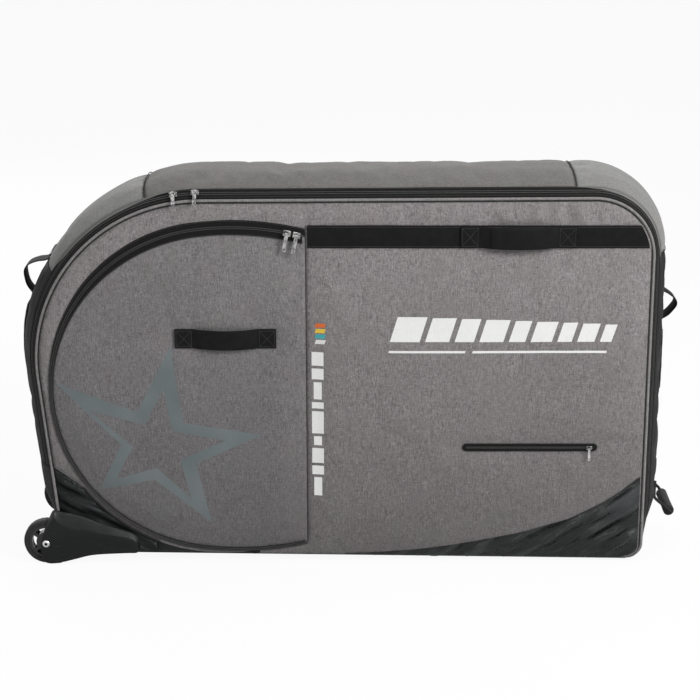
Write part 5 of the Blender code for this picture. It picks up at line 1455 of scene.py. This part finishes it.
for word, side, body, _ in SIDES:
    front_y = HALF_DEPTH - 0.008 - GAP
    floor_y = front_y - 0.058
    rings = [(0.006, front_y), (-0.006, front_y), (-0.009, front_y - 0.001), (-0.012, front_y - 0.006),
             (-0.0145, front_y - 0.02), (-0.0165, front_y - 0.036), (-0.018, floor_y + 0.012),
             (-0.021, floor_y + 0.005), (-0.026, floor_y + 0.0012), (-0.032, floor_y)]
    loops = []
    for away, y in rings:
        loops.append([Vector((p.x, side * y, p.y)) for p in pocket_loop(away)])
    centre = sum(loops[-1], Vector()) / len(loops[-1])
    for part in (0.9, 0.75, 0.6, 0.45, 0.3, 0.15):
        loops.append([centre + (p - centre) * part for p in loops[-1 if part == 0.9 else 9]])
    count = len(loops[0])
    points = []
    for depth, loop in enumerate(loops):
        for point in loop:
            wave = 0.0016 * noise.noise(point * 14) if depth > 4 else 0
            points.append(point + Vector((0, wave, 0)))
    faces = ring_faces(len(loops), count) + end_faces(len(loops), count)[1:]
    made = mesh_piece(word + "_wheel_pocket_lining", points, faces, lining)
    face_out(made, side, -1)
    thicken(made, 0.003)
    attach(made, body)
    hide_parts("wheel_pocket_" + word)


# Moulded parts: glass-filled nylon housings and base, wheels with rubber tyres, plated sliders.
def dress(finish, *names):
    """Gives nodes of the CAD model a material."""
    for name in names:
        piece = nodes[name]
        if piece.material_slots:
            for slot in piece.material_slots:
                slot.material = finish
        else:
            piece.data.materials.append(finish)


def soften(name, wide):
    """Rounds off a small part's edges."""
    bevel = nodes[name].modifiers.new("Soft edges", "BEVEL")
    bevel.width = wide
    bevel.segments = 2
    bevel.limit_method = "ANGLE"
    bevel.angle_limit = math.radians(30)
    bevel.harden_normals = True


def moulded_shade(here):
    """Near-black plastic with fine scuffs, and painted light on faces that look up: patches of lighter grey
    there.
    """
    facing = here.node("SeparateXYZ", Vector=here.node("TexCoord", output="Normal"))
    upward = Signal(here.tree, facing.socket.node.outputs[2])
    # Painted light: faces that look up, such as the housing's shoulder, are mixed in patches towards a
    # lighter grey.
    dust = upward.between(0.06, 0.5) * here.speckle((30, 30, 30), 3).between(0.2, 0.75)
    scuffs = here.speckle((40, 40, 260), 3).between(0.6, 0.72)
    return (scuffs * 0.25 + dust * 0.75).mix((0.0058, 0.0062, 0.0062), (0.036, 0.037, 0.037))


moulded = paint("moulded_nylon", moulded_shade,
                lambda here: here.speckle((24, 24, 24), 3).between(0.3, 0.7) * 0.16 + 0.27,
                bump=grain(900, 0.00012), Specular_IOR_Level=0.22)
glossy = paint("glossy_hub", (0.008, 0.008, 0.009), lambda here: here.speckle((50, 50, 50), 3) * 0.2 + 0.08,
               bump=grain(500, 0.00005))
rubber = paint("tyre_rubber_black", flecked(90, 3, (0.010, 0.010, 0.010), (0.026, 0.025, 0.024)), 0.58,
               bump=grain(600, 0.0003), Specular_IOR_Level=0.2)
steel = paint("bright_steel", (0.62, 0.62, 0.63), lambda here: here.speckle((120, 120, 900), 2) * 0.25 + 0.16,
              1.0, bump=lambda here: (here.speckle((900, 900, 120), 1), 0.00005))


def socket_shade_mask(here):
    """One within the hexagon socket of an axle bolt's head, which is round its centre. The socket is painted
    near black there: painted shade in the recess.
    """
    off = here.scaled((1, 0, 1))
    away = off.node("VectorMath", {"operation": "DISTANCE"}, output=1, i0=off, i1=(AXLE.x, 0, AXLE.y))
    return away < 0.0033


# Painted shade: the bolt head is bright steel, with its socket painted near black.
bolt = paint("bolt_head", lambda here: socket_shade_mask(here).mix((0.62, 0.62, 0.63), (0.012, 0.012, 0.013)),
             lambda here: here.speckle((120, 120, 900), 2) * 0.25 + 0.2, 1.0)
# Painted reflection: the plated zinc wanders in blotches between a dark and a light metal, for the dark
# surroundings it would mirror.
zinc = paint("plated_zinc", lambda here: here.speckle((110, 110, 110), 2).between(0.35, 0.65).mix(
    (0.15, 0.15, 0.155), (0.6, 0.59, 0.58)), lambda here: here.speckle((160, 160, 160), 3) * 0.3 + 0.06, 1.0,
             bump=grain(500, 0.00012, 2))
board = paint("base_board_sheet", flecked(300, 2, (0.02, 0.02, 0.02), (0.045, 0.045, 0.045)), 0.55)
tube = paint("bare_aluminium", (0.5, 0.5, 0.52), lambda here: here.speckle((20, 20, 600), 2) * 0.3 + 0.2, 1.0)
dress(moulded, "base_panel")
dress(glossy, "wheel_hub_front", "wheel_hub_back")
dress(rubber, "wheel_tyre_front", "wheel_tyre_back", "pull_grip")
dress(steel, "wheel_bush_front", "wheel_bush_back")
dress(bolt, "axle_bolt_front", "axle_bolt_back")
dress(board, "base_board")
dress(tube, "end_hoop_left", "end_hoop_right")
for name in ("main_slider_left", "main_slider_right", "front_flap_slider_a", "front_flap_slider_b",
             "back_flap_slider", "pocket_slider"):
    dress(zinc, name, name + "_tab")
    soften(name, 0.0005)
    soften(name + "_tab", 0.0004)


# Wheel housings: the node's arch and wheel room, under a moulded cover with a smooth outline and
# a broad shoulder, which is widest over the wheel and runs out at the toe.
COVER_FACE, ARCH_FACE = 0.1556, 0.1505
COVER = (
    (-0.6437, 0.1235, 0.010), (-0.6330, 0.1218, 0.019), (-0.6224, 0.1191, 0.027), (-0.5995, 0.1148, 0.033),
    (-0.5736, 0.1062, 0.028), (-0.5412, 0.0925, 0.020), (-0.5086, 0.0814, 0.014), (-0.4791, 0.0718, 0.010),
    (-0.4650, 0.0615, 0.007), (-0.4607, 0.0500, 0.005), (-0.4607, 0.0330, 0.004), (-0.4660, 0.0260, 0.003),
    (-0.4860, 0.0250, 0.003), (-0.5109, 0.0240, 0.003), (-0.5442, 0.0222, 0.003), (-0.5709, 0.0188, 0.003),
    (-0.5980, 0.0115, 0.003), (-0.6250, 0.0045, 0.003), (-0.6420, 0.0022, 0.003), (-0.6560, 0.0018, 0.003),
    (-0.6665, 0.0055, 0.003), (-0.6728, 0.0180, 0.003), (-0.6735, 0.0400, 0.003), (-0.6690, 0.0650, 0.003),
    (-0.6618, 0.0880, 0.004), (-0.6555, 0.1015, 0.006), (-0.6500, 0.1150, 0.008),
)


PROFILE = ((0, 0), (0, 0), (0.02, 0.1), (0.07, 0.2), (0.16, 0.3), (0.5, 0.62), (0.8, 0.9), (0.92, 0.98),
           (1, 1))


def flowing(points, cuts):
    """A closed loop led smoothly through the points, each of them a vector of any length."""
    made = []
    for i in range(len(points)):
        a, b, c, d = (np.array(points[(i + k) % len(points)]) for k in (-1, 0, 1, 2))
        for t in np.arange(cuts) / cuts:
            made.append((2 * b + (c - a) * t + (2 * a - 5 * b + 4 * c - d) * t ** 2
                         + (3 * b - a - 3 * c + d) * t ** 3) / 2)
    return made


def cover(word, side):
    """The moulded cover of one housing, from its foot on the bag over the shoulder to its face."""
    loop = flowing(COVER, 6)
    count = len(loop)
    points = []
    for depth, (run, lift) in enumerate(PROFILE):
        for i in range(count):
            x, z, width = loop[i]
            along = loop[(i + 1) % count] - loop[i - 1]
            inward = Vector((along[1], -along[0])).normalized() * width * run
            beside = (Vector((x, z)) - AXLE).length < 0.0565
            foot = 0.1503 if beside else HALF_DEPTH + GAP
            rise = 0.1512 if beside else 0.1450
            y = rise + (COVER_FACE - rise) * lift if depth else foot
            points.append((x + inward.x, side * y, z + inward.y))
    faces = ring_faces(len(PROFILE), count) + end_faces(len(PROFILE), count)[1:]
    made = mesh_piece("wheel_cover_" + word, points, faces, moulded)
    face_out(made, side, -1)
    return made


for word, side, _, _ in SIDES:
    outer = cover(word, side)
    inner = bpy.data.objects.new("wheel_arch_" + word, nodes["wheel_housing_" + word].data.copy())
    bpy.context.collection.objects.link(inner)
    for vertex in inner.data.vertices:
        spot = vertex.co
        if spot.z > 0.098:
            spot.x = max(spot.x, -0.6547)
            spot.z = min(spot.z, 0.102 + 1.8 * (spot.x + 0.6547))
        if abs(spot.y) > 0.149 and spot.x < -0.655:
            spot.x += 0.006
        if abs(spot.y) > ARCH_FACE:
            spot.y = side * ARCH_FACE
    inner.data.materials.clear()
    inner.data.materials.append(moulded)
    for made in (outer, inner):
        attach(made, "bag_body")
        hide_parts("wheel_housing_" + word)
